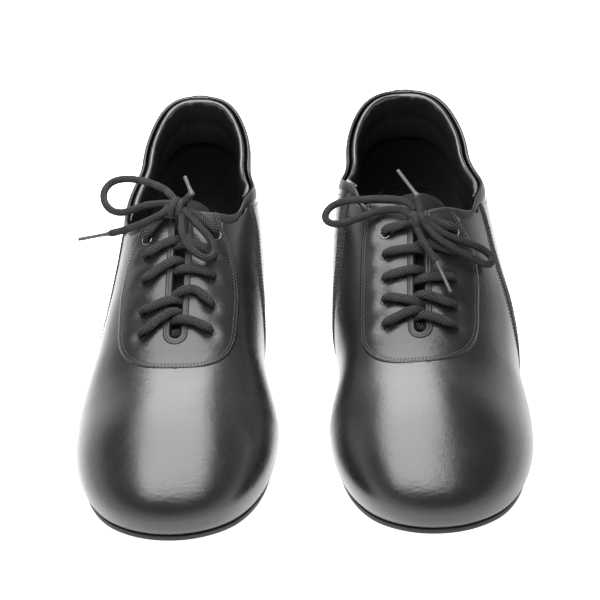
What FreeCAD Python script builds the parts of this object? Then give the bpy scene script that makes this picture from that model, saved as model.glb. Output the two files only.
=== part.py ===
import FreeCAD, Part
import math
import os
from FreeCAD import Vector

# A pair of men's lace-up dance shoes with a suede sole and a one-inch heel.
# Millimetres, +Z up, toes towards -Y, heels towards +Y, the left shoe on the +X side.
# The origin is on the floor under the middle of the pair.
#
# Every piece is first drawn in the shoe's own frame: x is 0 on the ridge of the foot and
# positive towards the outside of the foot, y runs from the toe tip (0) to the back of the
# heel, and z is the height above the floor.

# ---- driving dimensions -------------------------------------------------------------
LENGTH = 290.0            # toe tip to back of heel
BALL_Y = 78.0             # widest part of the forefoot, and the line where the sole flexes
HEEL_Y = 240.0            # widest part of the heel
TOE_RUN = 100.0           # length given to the outline from the ball round to the toe tip
HEEL_RUN = 58.0           # length given to the outline from the heel's side to its back
TOE_A = BALL_Y - TOE_RUN  # outline station of the toe tip
BACK_A = HEEL_Y + HEEL_RUN
TOE_ROUNDNESS = 2.18      # superellipse power of the toe's plan
HEEL_ROUNDNESS = 2.3
FLEX_GAP = 0.5            # half of the gap left where the forefoot bends

FEATHER_W = -0.25         # height parameter of the edge where the upper meets the sole
TUCK = 5.0                # how far the upper curls in below its widest line

SKIN = 1.2                # outer leather
GLUE = 0.2                # glue line between layers
STIFF = 0.6               # toe puff and heel counter
LINING = 0.8
LINING_DEPTH = SKIN + STIFF + 2 * GLUE

OUTSOLE = 3.5
OUTSOLE_INSET = 3.6       # from the upper's widest line to the edge of the sole
INSOLE = 2.0
INSOLE_INSET = 9.2
INSOLE_LIFT = 1.6         # room for the shank below the insole
SHANK = (12.0, 1.2, 122.0, 232.0)
HEEL_BREAST_Y = 207.0
HEEL_TIP = 5.5

LACE = 3.8                # diameter of the round lace
AGLET = 2.0               # diameter of the lace tips
# Rows of eyelets from the toe up, on the inside (-1) and the outside (1) of each shoe.
EYELET_YS = {
    "left": {-1: (110.2, 123.5, 134.0, 146.0, 158.3), 1: (105.5, 116.8, 131.0, 144.5, 157.5)},
    "right": {-1: (108.2, 122.3, 137.4, 149.0, 161.0), 1: (106.5, 118.6, 135.3, 148.7, 159.3)},
}
# How far each rung of lace climbs from its eyelet to the slit.
RUNG_RISE = {
    "left": {-1: (3.2, -4.5, 0.5, -1.0), 1: (3.0, 7.2, -1.7, 5.5)},
    "right": {-1: (2.6, 4.7, 0.0, -0.5), 1: (10.0, 3.0, 7.5, 5.3)},
}
ROWS = 5
EYELET_X = 18.0
EYELET_HOLE = 2.05
EYELET_BARREL = 2.4
EYELET_FLANGE = 3.25      # radius of the top pair's ring
EYELET_SMALL = 2.7        # and of the pairs below it

SLIT_HALF = 2.2
SLIT_BOTTOM_Y = 103.0
SLIT_TOP_Y = 169.0
SLIT_END_Y = {-1: 169.0, 1: 166.5}    # where its folded strips end, per side
BINDING = 4.2             # folded strip round the slit
BAND = 4.5                # binding along the top edge
SEAM_BOTTOM_Y = 84.5      # front of the U-shaped eyestay
GORE = 8.0                # width of the elastic side strips
STRIP_GAP = 0.4           # between a strip and the leather beside it

# Stations along the shoe: (y, value) pairs, joined by smooth cubic curves.
HALF_WIDTH = {
    -1: ((BALL_Y, 52.5), (125, 43.0), (170, 41.0), (205, 38.0), (HEEL_Y, 30.5)),
    1: ((BALL_Y, 52.5), (125, 47.0), (170, 41.0), (205, 36.5), (HEEL_Y, 30.0)),
}
RIDGE_Z = ((0, 48), (45, 54.5), (BALL_Y, 54.5), (88, 56), (112, 65), (145, 82), (175, 96), (205, 108),
           (245, 122), (290, 126))
WIDEST_Z = ((0, 21), (40, 17.5), (88, 16.5), (130, 24), (170, 38), (205, 46), (240, 48), (290, 48))
FEATHER_Z = ((0, 11.5), (22, 7.6), (50, 4.6), (BALL_Y, 3.6), (110, 5.2), (150, 13.5), (180, 21),
             (210, 26), (235, 28), (290, 28))
FULLNESS = ((0, 2.0), (88, 2.0), (130, 2.15), (175, 2.15), (210, 2.85), (290, 2.85))
RIM_Z = ((228, 78.5), (260, 83), (290, 92.5))

# Plan lines, measured from the middle of the slit.
SEAM_ROUND_Y = 117.0      # the eyestay is round ahead of here
SEAM_WIDE = 31.0
SEAM_POWER = 2.4
FACING_Y = 170.0          # top of the facing beside the slit
FACING_RISE = {
    -1: ((0, 0), (12, 2.3), (20.5, 8), (27, 15), (32, 23)),
    1: ((0, -4), (8, -1.8), (14, 1), (20.5, 4), (27, 9), (32, 16)),
}
CORNER_X = 32.0           # ankle corner, where the facing meets the collar
CORNER_Y = {side: FACING_Y + rise[-1][1] for side, rise in FACING_RISE.items()}

# The elastic strips' middle line, from the sole (0) to the ankle corner (1): how far it is
# ahead of the corner, and its height as a share of the way from the sole to the corner.
GORE_AHEAD = {
    -1: ((0, 60), (0.3, 43), (0.6, 24), (0.85, 6), (1, 0)),
    1: ((0, 70), (0.3, 57), (0.6, 36), (0.85, 8), (1, 0)),
}
GORE_RISE = {
    -1: ((0, 0), (0.3, 0.42), (0.6, 0.68), (0.85, 0.84), (1, 1)),
    1: ((0, 0), (0.3, 0.55), (0.6, 0.8), (0.85, 0.9), (1, 1)),
}
GORE_NARROW = 0.25        # share of its width that the strip keeps at the corner
GORE_SCALE = 75.0         # millimetres of skin for one unit of the height parameter


def smooth(stations, at):
    """Cubic Hermite curve through (place, value) pairs, level at both ends."""
    if at <= stations[0][0]:
        return float(stations[0][1])
    if at >= stations[-1][0]:
        return float(stations[-1][1])
    steps = [b[0] - a[0] for a, b in zip(stations, stations[1:])]
    rises = [(b[1] - a[1]) / step for a, b, step in zip(stations, stations[1:], steps)]
    slopes = [0.0]
    for i in range(1, len(steps)):
        slopes.append((rises[i - 1] * steps[i] + rises[i] * steps[i - 1]) / (steps[i] + steps[i - 1]))
    slopes.append(0.0)
    i = max(k for k in range(len(steps)) if at >= stations[k][0])
    t = (at - stations[i][0]) / steps[i]
    low, high = stations[i][1], stations[i + 1][1]
    return ((1 + 2 * t) * (1 - t) ** 2 * low + t * (1 - t) ** 2 * steps[i] * slopes[i]
            + t * t * (3 - 2 * t) * high + t * t * (t - 1) * steps[i] * slopes[i + 1])


def ease(t):
    t = min(max(t, 0.0), 1.0)
    return t * t * (3 - 2 * t)


def between(low, high, count):
    return [low + (high - low) * i / (count - 1) for i in range(count)]


class Shoe:
    """One shoe's shape. side is -1 on the inside of the foot and 1 on the outside."""

    def __init__(self, name, hand, place, yaw, spread, slit_shift, seam_top, knot):
        self.name = name
        self.hand = hand              # 1: the outside faces +X, -1: mirrored
        self.place = place            # where the middle of the shoe stands
        self.yaw = yaw                # turn about Z in degrees
        self.spread = spread          # how far the opening is worn apart, per side
        self.slit_shift = slit_shift  # x of the slit at its bottom and at its top
        self.seam_top = seam_top      # half width of the eyestay at its top, per side
        self.knot = knot              # plan place of the bow's knot

    # -- the last: one smooth surface --
    def half_width(self, side, y):
        wide = smooth(HALF_WIDTH[side], y)
        bump = ease((y - 100) / 50) * ease((LENGTH - y) / 60)
        return wide * (1 + self.spread[side] * bump)

    def outline(self, side, a, inset=0.0, worn=True):
        """Plan point at outline station a, and the centre that its section points at."""
        if a < BALL_Y:
            turn = math.pi / 2 * (BALL_Y - a) / TOE_RUN
            power, run, centre, wide = TOE_ROUNDNESS, -BALL_Y, BALL_Y, smooth(HALF_WIDTH[side], BALL_Y)
        elif a > HEEL_Y:
            turn = math.pi / 2 * (a - HEEL_Y) / HEEL_RUN
            power, run, centre, wide = HEEL_ROUNDNESS, LENGTH - HEEL_Y, HEEL_Y, None
            wide = self.half_width(side, HEEL_Y) if worn else smooth(HALF_WIDTH[side], HEEL_Y)
        else:
            wide = self.half_width(side, a) if worn else smooth(HALF_WIDTH[side], a)
            return side * (wide - inset), a, a
        cos, sin = math.cos(turn), math.sin(turn)
        size = (abs(cos) ** power + sin ** power) ** (1 / power)
        x, y = wide * cos / size, run * sin / size
        shrink = 1 - inset / math.hypot(x, y)
        return side * x * shrink, centre + y * shrink, centre

    def point(self, side, a, w):
        """A point on the outside of the upper: w is 0 on the widest line and 1 on the ridge."""
        x, y, centre = self.outline(side, a)
        if w < 0:
            low = w / FEATHER_W
            foot_x, foot_y, centre = self.outline(side, a, TUCK, worn=False)
            curl = (1 - math.sqrt(1 - 0.75 * low * low)) / 0.5
            px, py = x + (foot_x - x) * curl, y + (foot_y - y) * curl
            top = smooth(WIDEST_Z, y)
            return Vector(px, py, top + (smooth(FEATHER_Z, foot_y) - top) * low)
        turn = math.pi / 2 * w
        cos, sin = math.cos(turn), math.sin(turn)
        here = y
        for repeat in range(2):
            power = smooth(FULLNESS, here)
            size = (cos ** power + sin ** power) ** (1 / power)
            here = centre + (y - centre) * cos / size
        low = smooth(WIDEST_Z, here)
        return Vector(x * cos / size, here, low + (smooth(RIDGE_Z, here) - low) * sin / size)

    def height(self, x, y):
        """Height of the upper above a plan point."""
        side = -1 if x < 0 else 1
        across = abs(x) / self.half_width(side, max(y, BALL_Y))
        along = max((BALL_Y - y) / BALL_Y, (y - HEEL_Y) / (LENGTH - HEEL_Y), 0.0)
        power = TOE_ROUNDNESS if y < HEEL_Y else HEEL_ROUNDNESS
        gauge = (across ** power + along ** power) ** (1 / power)
        full = smooth(FULLNESS, y)
        low = smooth(WIDEST_Z, y)
        return low + (smooth(RIDGE_Z, y) - low) * max(1 - gauge ** full, 0.0) ** (1 / full)

    def lift(self, x, y, out=0.0):
        """The point above plan (x, y), moved out along the surface's normal."""
        step = 0.5
        dx = (self.height(x + step, y) - self.height(x - step, y)) / (2 * step)
        dy = (self.height(x, y + step) - self.height(x, y - step)) / (2 * step)
        normal = Vector(-dx, -dy, 1).normalize()
        return Vector(x, y, self.height(x, y)) + normal * out

    def normal(self, side, a, w):
        if w > 0.7:
            here = self.point(side, a, w)
            return (self.lift(here.x, here.y, 1.0) - self.lift(here.x, here.y)).normalize()
        along = self.point(side, a + 0.3, w) - self.point(side, a - 0.3, w)
        low, high = max(w - 0.004, FEATHER_W), w + 0.004
        if low < 0 <= w:
            low = w
        elif w < 0 < high:
            high = w
        up = self.point(side, a, high) - self.point(side, a, low)
        return (along.cross(up) * side).normalize()

    def skin(self, side, a, w, depth=0.0):
        """A point depth below the outside of the upper."""
        return self.point(side, a, w) - self.normal(side, a, w) * depth

    def w_of_x(self, side, x, y):
        across = min(abs(x) / self.half_width(side, y), 1.0)
        full = smooth(FULLNESS, y)
        return math.atan2((1 - across ** full) ** (1 / full), across) / (math.pi / 2)

    def w_of_z(self, side, a, z):
        y = self.outline(side, a)[1]
        full = smooth(FULLNESS, y)
        low = smooth(WIDEST_Z, y)
        up = (z - low) / (smooth(RIDGE_Z, y) - low)
        return math.atan2(up, (1 - up ** full) ** (1 / full)) / (math.pi / 2)

    # -- the lines that the pieces share --
    def slit_x(self, y):
        low, high = self.slit_shift
        return low + (high - low) * ease((y - SLIT_BOTTOM_Y) / (SLIT_TOP_Y - SLIT_BOTTOM_Y))

    def facing_top_y(self, side, x):
        """The facing's top edge, x from the middle of the slit."""
        return FACING_Y + smooth(FACING_RISE[side], x)

    def seam_end(self, side):
        return self.seam_top[side], self.facing_top_y(side, self.seam_top[side])

    def seam_x(self, side, y):
        """Plan x of the eyestay's seam behind its round front."""
        end_x, end_y = self.seam_end(side)
        middle_x = (SEAM_WIDE + end_x) / 2 + 1.5
        line = ((SEAM_ROUND_Y, SEAM_WIDE), (136, SEAM_WIDE), (156, middle_x), (end_y, end_x))
        return self.slit_x(y) + side * smooth(line, y)

    def inner_w(self, side, y):
        """Height parameter of the vamp's hidden edge, under the eyestay and then along the facing's top."""
        line = ((84, 0), (92, 13), (100, 21), (118, 23.5), (150, 21.6), (164, 21.2))
        line += tuple((self.facing_top_y(side, x), x + 0.4) for x in (21.5, 27.0, CORNER_X - 0.6))
        middle = self.slit_x(y) * ease((y - 86) / 12)
        return self.w_of_x(side, middle + side * smooth(line, y), y)

    def corner_w(self, side):
        y = CORNER_Y[side]
        return self.w_of_x(side, self.slit_x(y) + side * CORNER_X, y)

    def rim_w(self, side, a):
        """Height parameter of the collar's top edge, from the ankle corner to the back of the heel."""
        corner = self.corner_w(side)
        line = ((CORNER_Y[side], self.point(side, CORNER_Y[side], corner).z),) + RIM_Z
        return self.w_of_z(side, a, smooth(line, self.outline(side, a)[1]))

    def world(self, shape):
        """Puts a shape from the shoe's own frame in its place in the pair."""
        moved = shape.copy()
        moved.translate(Vector(0, -LENGTH / 2, 0))
        if self.hand < 0:
            moved = moved.mirror(Vector(0, 0, 0), Vector(1, 0, 0))
        moved.rotate(Vector(0, 0, 0), Vector(0, 0, 1), self.yaw)
        moved.translate(Vector(self.place[0], self.place[1], 0))
        return moved


# ---- solids from surfaces -----------------------------------------------------------
def closed_solid(faces):
    shell = Part.makeShell(faces)
    shell.sewShape()
    solid = Part.makeSolid(shell)
    if solid.Volume < 0:
        solid.reverse()
    return solid


def sheet_solid(outer, inner):
    """A solid between two grids of points of the same size."""
    tops = []
    for grid in (outer, inner):
        surface = Part.BSplineSurface()
        surface.interpolate(grid)
        tops.append(surface)
    faces = [surface.toShape() for surface in tops]
    u0, u1, v0, v1 = tops[0].bounds()
    for place in (u0, u1):
        edges = [surface.uIso(surface.bounds()[0] if place == u0 else surface.bounds()[1]).toShape()
                 for surface in tops]
        faces.append(Part.makeRuledSurface(edges[0], edges[1]))
    for place in (v0, v1):
        edges = [surface.vIso(surface.bounds()[2] if place == v0 else surface.bounds()[3]).toShape()
                 for surface in tops]
        faces.append(Part.makeRuledSurface(edges[0], edges[1]))
    return closed_solid(faces)


def panel(place, rows, columns, near, far):
    """A panel from place(p, q, depth), between the depths near and far (numbers or functions)."""
    grids = []
    for depth in (near, far):
        grid = []
        for p in between(0, 1, rows):
            grid.append([place(p, q, depth(p, q) if callable(depth) else depth)
                         for q in between(0, 1, columns)])
        grids.append(grid)
    return sheet_solid(grids[0], grids[1])


def smooth_wire(points, closed=False):
    curve = Part.BSplineCurve()
    curve.interpolate(points, PeriodicFlag=closed)
    return curve.toShape()


def side_slab(low, high, y0, y1):
    """Everything between the heights low(y) and high(y), from y0 to y1."""
    ys = between(y0, y1, 25)
    bottom = smooth_wire([Vector(-90, y, low(y)) for y in ys])
    top = smooth_wire([Vector(-90, y, high(y)) for y in ys])
    front = Part.makeLine(Vector(-90, y0, low(y0)), Vector(-90, y0, high(y0)))
    back = Part.makeLine(Vector(-90, y1, low(y1)), Vector(-90, y1, high(y1)))
    face = Part.Face(Part.Wire(Part.__sortEdges__([bottom, back, top, front])))
    return face.extrude(Vector(180, 0, 0))


def plan_prism(shoe, inset):
    """The sole's outline, inset from the upper's widest line, as a tall prism."""
    points = [shoe.outline(-1, a, inset, worn=False) for a in between(TOE_A, BACK_A, 34)]
    points += [shoe.outline(1, a, inset, worn=False) for a in between(BACK_A, TOE_A, 34)[1:-1]]
    wire = Part.Wire(smooth_wire([Vector(x, y, -5) for x, y, centre in points], closed=True))
    return Part.Face(wire).extrude(Vector(0, 0, 60))


def tube(points, diameter):
    """A round cord along straight runs joined by tangent arcs, and its sharpest radius."""
    edges = []
    start = points[0]
    tightest = 1e9
    for before, corner, after in zip(points, points[1:], points[2:]):
        back, ahead = before - corner, after - corner
        half_turn = (math.pi - back.getAngle(ahead)) / 2
        shorter = min(back.Length, ahead.Length)
        cut = 0.45 * shorter
        tightest = min(tightest, cut / math.tan(half_turn))
        first = corner + back * (cut / back.Length)
        last = corner + ahead * (cut / ahead.Length)
        middle_way = (back.normalize() + ahead.normalize()).normalize()
        radius = cut / math.tan(half_turn)
        middle = corner + middle_way * (radius / math.cos(half_turn) - radius)
        edges.append(Part.LineSegment(start, first).toShape())
        edges.append(Part.Arc(first, middle, last).toShape())
        start = last
    edges.append(Part.LineSegment(start, points[-1]).toShape())
    path = Part.Wire(edges)
    way = points[1] - points[0]
    section = Part.Wire(Part.Circle(points[0], way, diameter / 2).toShape())
    solid = path.makePipeShell([section], True, False)
    return solid, path.Length, tightest


# ---- forefoot -----------------------------------------------------------------------
def toe_place(shoe):
    """The toe half of the upper as a patch: p runs across, q from the flex line to the toe."""
    def place(p, q, depth):
        u, v = 2 * p - 1, q
        across, ahead = u * math.sqrt(1 - v * v / 2), v * math.sqrt(1 - u * u / 2)
        out = min(math.hypot(across, ahead), 1.0)
        side = -1 if across < 0 else 1
        turn = math.atan2(ahead, abs(across)) if out > 1e-9 else 0.0
        a = BALL_Y - TOE_RUN * turn / (math.pi / 2)
        spot = shoe.skin(side, a, 1 - (1 - FEATHER_W) * out, depth)
        spot.y -= FLEX_GAP
        return spot
    return place


def vamp_toe(shoe):
    return panel(toe_place(shoe), 29, 17, 0.0, SKIN)


def toe_puff(shoe):
    """Stiffener round the toe, between the leather and the lining."""
    def place(p, q, depth):
        side = -1 if p < 0.5 else 1
        a = TOE_A + abs(2 * p - 1) * 62
        spot = shoe.skin(side, a, -0.12 + 0.72 * q, depth)
        spot.y -= FLEX_GAP
        return spot
    return panel(place, 29, 9, SKIN + 1.4 * GLUE, SKIN + 1.4 * GLUE + STIFF)


def vamp_lining(shoe):
    near = LINING_DEPTH + GLUE / 2
    return panel(toe_place(shoe), 29, 17, near, near + LINING)


# ---- the upper behind the flex line ---------------------------------------------------
def gore_spot(shoe, side, t, share, gap=0.0):
    """Station and height parameter at t along the elastic strip. share runs from -0.5 on its front edge to 0.5."""
    width = GORE * (GORE_NARROW + (1 - GORE_NARROW) * ease((1 - t) / 0.18))
    across = share * width + gap
    lean = 0.8 * math.sin(math.pi * t)
    top = shoe.corner_w(side) - 0.02
    a = CORNER_Y[side] - smooth(GORE_AHEAD[side], t) + across * math.cos(lean)
    w = FEATHER_W + smooth(GORE_RISE[side], t) * (top - FEATHER_W) - across * math.sin(lean) / GORE_SCALE
    return a, w


def patch(bottom, top, front, back):
    """Fills in between four edges that share their corners; each gives (station, height)."""
    def spot(p, q):
        values = []
        for i in (0, 1):
            low_front, high_front, low_back, high_back = bottom(0)[i], top(0)[i], bottom(1)[i], top(1)[i]
            corners = ((1 - p) * ((1 - q) * low_front + q * high_front)
                       + p * ((1 - q) * low_back + q * high_back))
            values.append((1 - q) * bottom(p)[i] + q * top(p)[i] + (1 - p) * front(q)[i] + p * back(q)[i]
                          - corners)
        return values
    return spot


def wing_place(shoe, side):
    """From the flex line to the elastic strip, and from the sole up to under the eyestay."""
    start = BALL_Y + FLEX_GAP

    def edge(t):
        return gore_spot(shoe, side, t, -0.5, -STRIP_GAP)
    low_end, high_end = edge(0), edge(1)

    def top(p):
        a = start + p * (high_end[0] - start)
        return a, shoe.inner_w(side, a) + (high_end[1] - shoe.inner_w(side, high_end[0])) * p ** 6
    spot = patch(lambda p: (start + p * (low_end[0] - start), FEATHER_W), top,
                 lambda q: (start, FEATHER_W + q * (1 - FEATHER_W)), edge)

    def place(p, q, depth):
        a, w = spot(p, q)
        return shoe.skin(side, a, w, depth)
    return place


def vamp_wings(shoe):
    wings = [panel(wing_place(shoe, side), 17, 11, 0.0, SKIN) for side in (-1, 1)]
    return Part.makeCompound(wings)


def side_gores(shoe):
    """Ribbed elastic strips from the ankle corners down to the sole."""
    strips = []
    for side in (-1, 1):
        def place(p, q, depth, side=side):
            a, w = gore_spot(shoe, side, q, p - 0.5)
            return shoe.skin(side, a, w, depth)
        strips.append(panel(place, 4, 15, 0.25, SKIN))
    return Part.makeCompound(strips)


def quarter(shoe, side):
    """Side of the heel, from the elastic strip to the back strip."""
    def edge(t):
        return gore_spot(shoe, side, t, 0.5, STRIP_GAP)
    low_front, high_front = edge(0), edge(1)
    end = BACK_A - 7.2
    end_w = shoe.rim_w(side, end)

    def top(p):
        a = high_front[0] + p * (end - high_front[0])
        return a, shoe.rim_w(side, a) + (high_front[1] - shoe.rim_w(side, high_front[0])) * (1 - p) ** 6
    spot = patch(lambda p: (low_front[0] + p * (end - low_front[0]), FEATHER_W), top,
                 edge,
                 lambda q: (end, FEATHER_W + q * (end_w - FEATHER_W)))

    def place(p, q, depth):
        a, w = spot(p, q)
        return shoe.skin(side, a, w, depth)
    return panel(place, 29, 13, 0.0, SKIN)


def across_back(shoe, reach):
    """Signed walk across the back of the heel: returns side and station for p from 0 to 1."""
    def station(p):
        side = -1 if p < 0.5 else 1
        return side, BACK_A - reach * abs(2 * p - 1)
    return station


def back_strip(shoe):
    station = across_back(shoe, 7.0)

    def place(p, q, depth):
        side, a = station(p)
        low = FEATHER_W + 0.01
        return shoe.skin(side, a, low + q * (shoe.rim_w(side, a) - low), depth)
    return panel(place, 7, 10, 0.0, SKIN)


def heel_counter(shoe):
    """Stiff cup round the heel, between the leather and the lining."""
    station = across_back(shoe, 95.0)

    def place(p, q, depth):
        side, a = station(p)
        top = -0.05 + (shoe.rim_w(side, a) - 0.22) * math.sin(math.pi * p) ** 0.5
        return shoe.skin(side, a, -0.14 + q * (top + 0.14), depth)
    return panel(place, 29, 7, SKIN + GLUE, SKIN + GLUE + STIFF)


def quarter_lining(shoe):
    """Lining from the flex line round the heel, in two halves that meet at the back."""
    halves = []
    for side in (-1, 1):
        def place(p, q, depth, side=side):
            start = BALL_Y + FLEX_GAP
            a = start + p * (BACK_A - start)
            low_rim = shoe.rim_w(side, max(a, CORNER_Y[side])) - 0.29
            facing = shoe.inner_w(side, min(a, 164.0))
            top_w = facing + (low_rim - facing) * ease((a - 150) / 45)
            return shoe.skin(side, a, FEATHER_W + q * (top_w - FEATHER_W), depth)
        halves.append(panel(place, 37, 11, LINING_DEPTH, LINING_DEPTH + LINING))
    return Part.makeCompound(halves)


def collar_pad(shoe):
    """Padded roll inside the top edge, from one ankle corner round the heel to the other."""
    def place(p, q, depth):
        side = -1 if p < 0.5 else 1
        a = BACK_A - (BACK_A - CORNER_Y[side] - 2) * abs(2 * p - 1)
        top = shoe.rim_w(side, a)
        return shoe.skin(side, a, top - 0.24 + 0.24 * q, depth)

    def thickness(p, q):
        ends = ease(p / 0.12) * ease((1 - p) / 0.12)
        return LINING_DEPTH + 0.6 + 4.4 * math.sin(math.pi * (0.1 + 0.8 * q)) * (0.35 + 0.65 * ends)
    return panel(place, 33, 8, SKIN + 2 * GLUE, thickness)


def topline_band(shoe):
    """Binding along the top edge, from the slit along both facings and round the heel."""
    pieces = []
    for side in (-1, 1):
        def facing(p, q, depth, side=side):
            x = 3.0 + p * (CORNER_X - 3.3)
            y = shoe.facing_top_y(side, x) - (1 - q) * BAND
            return shoe.lift(shoe.slit_x(y) + side * x, y, -depth)

        def collar(p, q, depth, side=side):
            start = CORNER_Y[side] + 0.5
            a = start + p * (BACK_A - 0.05 - start)
            top = shoe.rim_w(side, a)
            return shoe.skin(side, a, top - 0.06 * (1 - q), depth)
        pieces.append(panel(facing, 13, 4, -2.2, -1.5))
        pieces.append(panel(collar, 31, 4, -1.05, -0.35))
    return Part.makeCompound(pieces)


def u_band(shoe, inner, outer, top_rows, near, far):
    """A U-shaped band round the slit. inner and outer give plan points for p from 0 to 1."""
    def place(p, q, depth):
        a, b = inner(p), outer(p)
        return shoe.lift(a[0] + (b[0] - a[0]) * q, a[1] + (b[1] - a[1]) * q, -depth)
    return panel(place, top_rows, 6, near, far)


def slit_edge(shoe, away):
    """Plan line round the slit, away from its middle: down the inside, round, up the outside."""
    def spot(p):
        s = 2 * p - 1
        side = -1 if s < 0 else 1
        turn_share = 0.25
        if abs(s) < turn_share:
            turn = math.pi / 2 * s / turn_share
            y = SLIT_BOTTOM_Y + SLIT_HALF - away * math.cos(turn)
            return shoe.slit_x(y) + away * math.sin(turn), y
        share = (abs(s) - turn_share) / (1 - turn_share)
        y = SLIT_BOTTOM_Y + SLIT_HALF + share * (SLIT_END_Y[side] - SLIT_BOTTOM_Y - SLIT_HALF)
        return shoe.slit_x(y) + side * away, y
    return spot


def seam_edge(shoe):
    """Plan line of the eyestay's seam, round the same way."""
    def spot(p):
        s = 2 * p - 1
        side = -1 if s < 0 else 1
        round_share = 0.45
        if abs(s) < round_share:
            turn = math.pi / 2 * abs(s) / round_share
            size = (math.cos(turn) ** SEAM_POWER + math.sin(turn) ** SEAM_POWER) ** (1 / SEAM_POWER)
            y = SEAM_ROUND_Y - (SEAM_ROUND_Y - SEAM_BOTTOM_Y) * math.cos(turn) / size
            return shoe.slit_x(y) + side * SEAM_WIDE * math.sin(turn) / size, y
        top_y = shoe.seam_end(side)[1]
        y = SEAM_ROUND_Y + (top_y - SEAM_ROUND_Y) * (abs(s) - round_share) / (1 - round_share)
        return shoe.seam_x(side, y), y
    return spot


def eyelet_spots(shoe):
    rows = EYELET_YS[shoe.name]
    return [(shoe.slit_x(y) + side * EYELET_X, y, row) for side in (-1, 1) for row, y in enumerate(rows[side])]


def eyelet_axis(shoe, x, y):
    base = shoe.lift(x, y)
    return base, (shoe.lift(x, y, 1.0) - base).normalize()


def eyestay(shoe):
    """U-shaped panel round the laces, laid over the vamp."""
    band = u_band(shoe, slit_edge(shoe, SLIT_HALF + BINDING), seam_edge(shoe), 33, -0.12 - SKIN, -0.12)
    for x, y, row in eyelet_spots(shoe):
        base, way = eyelet_axis(shoe, x, y)
        band = band.cut(Part.makeCylinder(EYELET_BARREL + 0.05, 8, base - way * 4, way))
    return band


def throat_binding(shoe):
    """Folded strip round the slit."""
    return u_band(shoe, slit_edge(shoe, SLIT_HALF), slit_edge(shoe, SLIT_HALF + BINDING - 0.1),
                  33, -0.7, 0.6)


def eyelets(shoe):
    rings = []
    for x, y, row in eyelet_spots(shoe):
        base, way = eyelet_axis(shoe, x, y)
        top = SKIN + 0.3
        radius = EYELET_FLANGE if row == ROWS - 1 else EYELET_SMALL
        flange = Part.makeCylinder(radius, 0.5, base + way * top, way)
        barrel = Part.makeCylinder(EYELET_BARREL, top + 0.8, base - way * 0.8, way)
        hole = Part.makeCylinder(EYELET_HOLE, 8, base - way * 4, way)
        ring = flange.fuse(barrel).cut(hole)
        rings.append(ring.removeSplitter())
    return Part.makeCompound(rings)


def tongue(shoe):
    """Lined tongue below the laces, stitched at its root just ahead of the slit."""
    def place(p, q, depth):
        y = 97 + 85 * p
        reach = 22 + 5 * math.sin(math.pi * p) - 5 * ease((p - 0.8) / 0.2)
        bow = 4 * (2 * q - 1) ** 2 * ease((p - 0.6) / 0.4)
        return shoe.lift(shoe.slit_x(y) + (2 * q - 1) * reach, y - bow, -depth)
    return panel(place, 13, 9, 5.8, 8.0)


# ---- below the foot -------------------------------------------------------------------
def feather_z(y):
    return smooth(FEATHER_Z, y)


def sole_piece(shoe, inset, low, high, y0, y1):
    return plan_prism(shoe, inset).common(side_slab(low, high, y0, y1))


def outsole(shoe, y0, y1):
    return sole_piece(shoe, OUTSOLE_INSET, lambda y: feather_z(y) - OUTSOLE, lambda y: feather_z(y) - 0.1,
                      y0, y1)


def insole(shoe, y0, y1):
    return sole_piece(shoe, INSOLE_INSET, lambda y: feather_z(y) + INSOLE_LIFT,
                      lambda y: feather_z(y) + INSOLE_LIFT + INSOLE, y0, y1)


def shank(shoe):
    """Steel strip under the arch."""
    wide, thick, y0, y1 = SHANK
    slab = side_slab(lambda y: feather_z(y) + 0.2, lambda y: feather_z(y) + 0.2 + thick, y0, y1)
    return slab.common(Part.makeBox(wide, y1 - y0, 60, Vector(-wide / 2, y0, 0)))


def heel_wire(shoe, inset, z):
    points = [shoe.outline(-1, a, inset, worn=False) for a in between(HEEL_BREAST_Y, BACK_A, 12)]
    points += [shoe.outline(1, a, inset, worn=False) for a in between(BACK_A, HEEL_BREAST_Y, 12)[1:]]
    vectors = [Vector(x, y, z) for x, y, centre in points]
    return Part.Wire([smooth_wire(vectors), Part.makeLine(vectors[-1], vectors[0])])


def heel_stack(shoe):
    """The whole heel, slightly tapered, cut to the underside of the sole."""
    loft = Part.makeLoft([heel_wire(shoe, 6.8, 0), heel_wire(shoe, 4.0, 26)], True, True)
    under = side_slab(lambda y: -1.0, lambda y: feather_z(y) - OUTSOLE - 0.1, HEEL_BREAST_Y - 5, LENGTH + 5)
    return loft.common(under)


def heel_block(shoe):
    return heel_stack(shoe).common(Part.makeBox(200, 200, 60, Vector(-100, 150, HEEL_TIP + 0.1)))


def heel_tip(shoe):
    return heel_stack(shoe).common(Part.makeBox(200, 200, HEEL_TIP, Vector(-100, 150, 0)))


# ---- lacing -----------------------------------------------------------------------------
LACE_OVER = SKIN + LACE / 2 + 0.35    # height of a rung above the facing
LACE_UNDER = -LACE / 2 - 1.2          # and below it
KNOT_SIZE = (7.0, 5.5, 4.6)           # half sizes of the knot
KNOT_LIFT = 6.8


def rung(shoe, side, row):
    """Up out of an eyelet, over the facing, down through the slit to the other facing's next eyelet."""
    y = EYELET_YS[shoe.name][side][row]
    rise = RUNG_RISE[shoe.name][side][row]
    dive = y + rise
    top = EYELET_YS[shoe.name][-side][row + 1]

    def spot(x, at, out):
        return shoe.lift(shoe.slit_x(at) + side * x, at, out)
    return [
        spot(EYELET_X, y, LACE_UNDER),
        spot(EYELET_X, y, LACE_OVER - 0.6),
        spot(EYELET_X - 5.5, y + rise * 0.15, LACE_OVER + 1.0),
        spot(7.5, y + rise * 0.6, LACE_OVER + 0.6),
        spot(2.0, dive, 0.6),
        spot(-4.5, dive + 1.5, LACE_UNDER),
        spot(-EYELET_X + 4.2, top - 0.8, LACE_UNDER),
    ]


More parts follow.
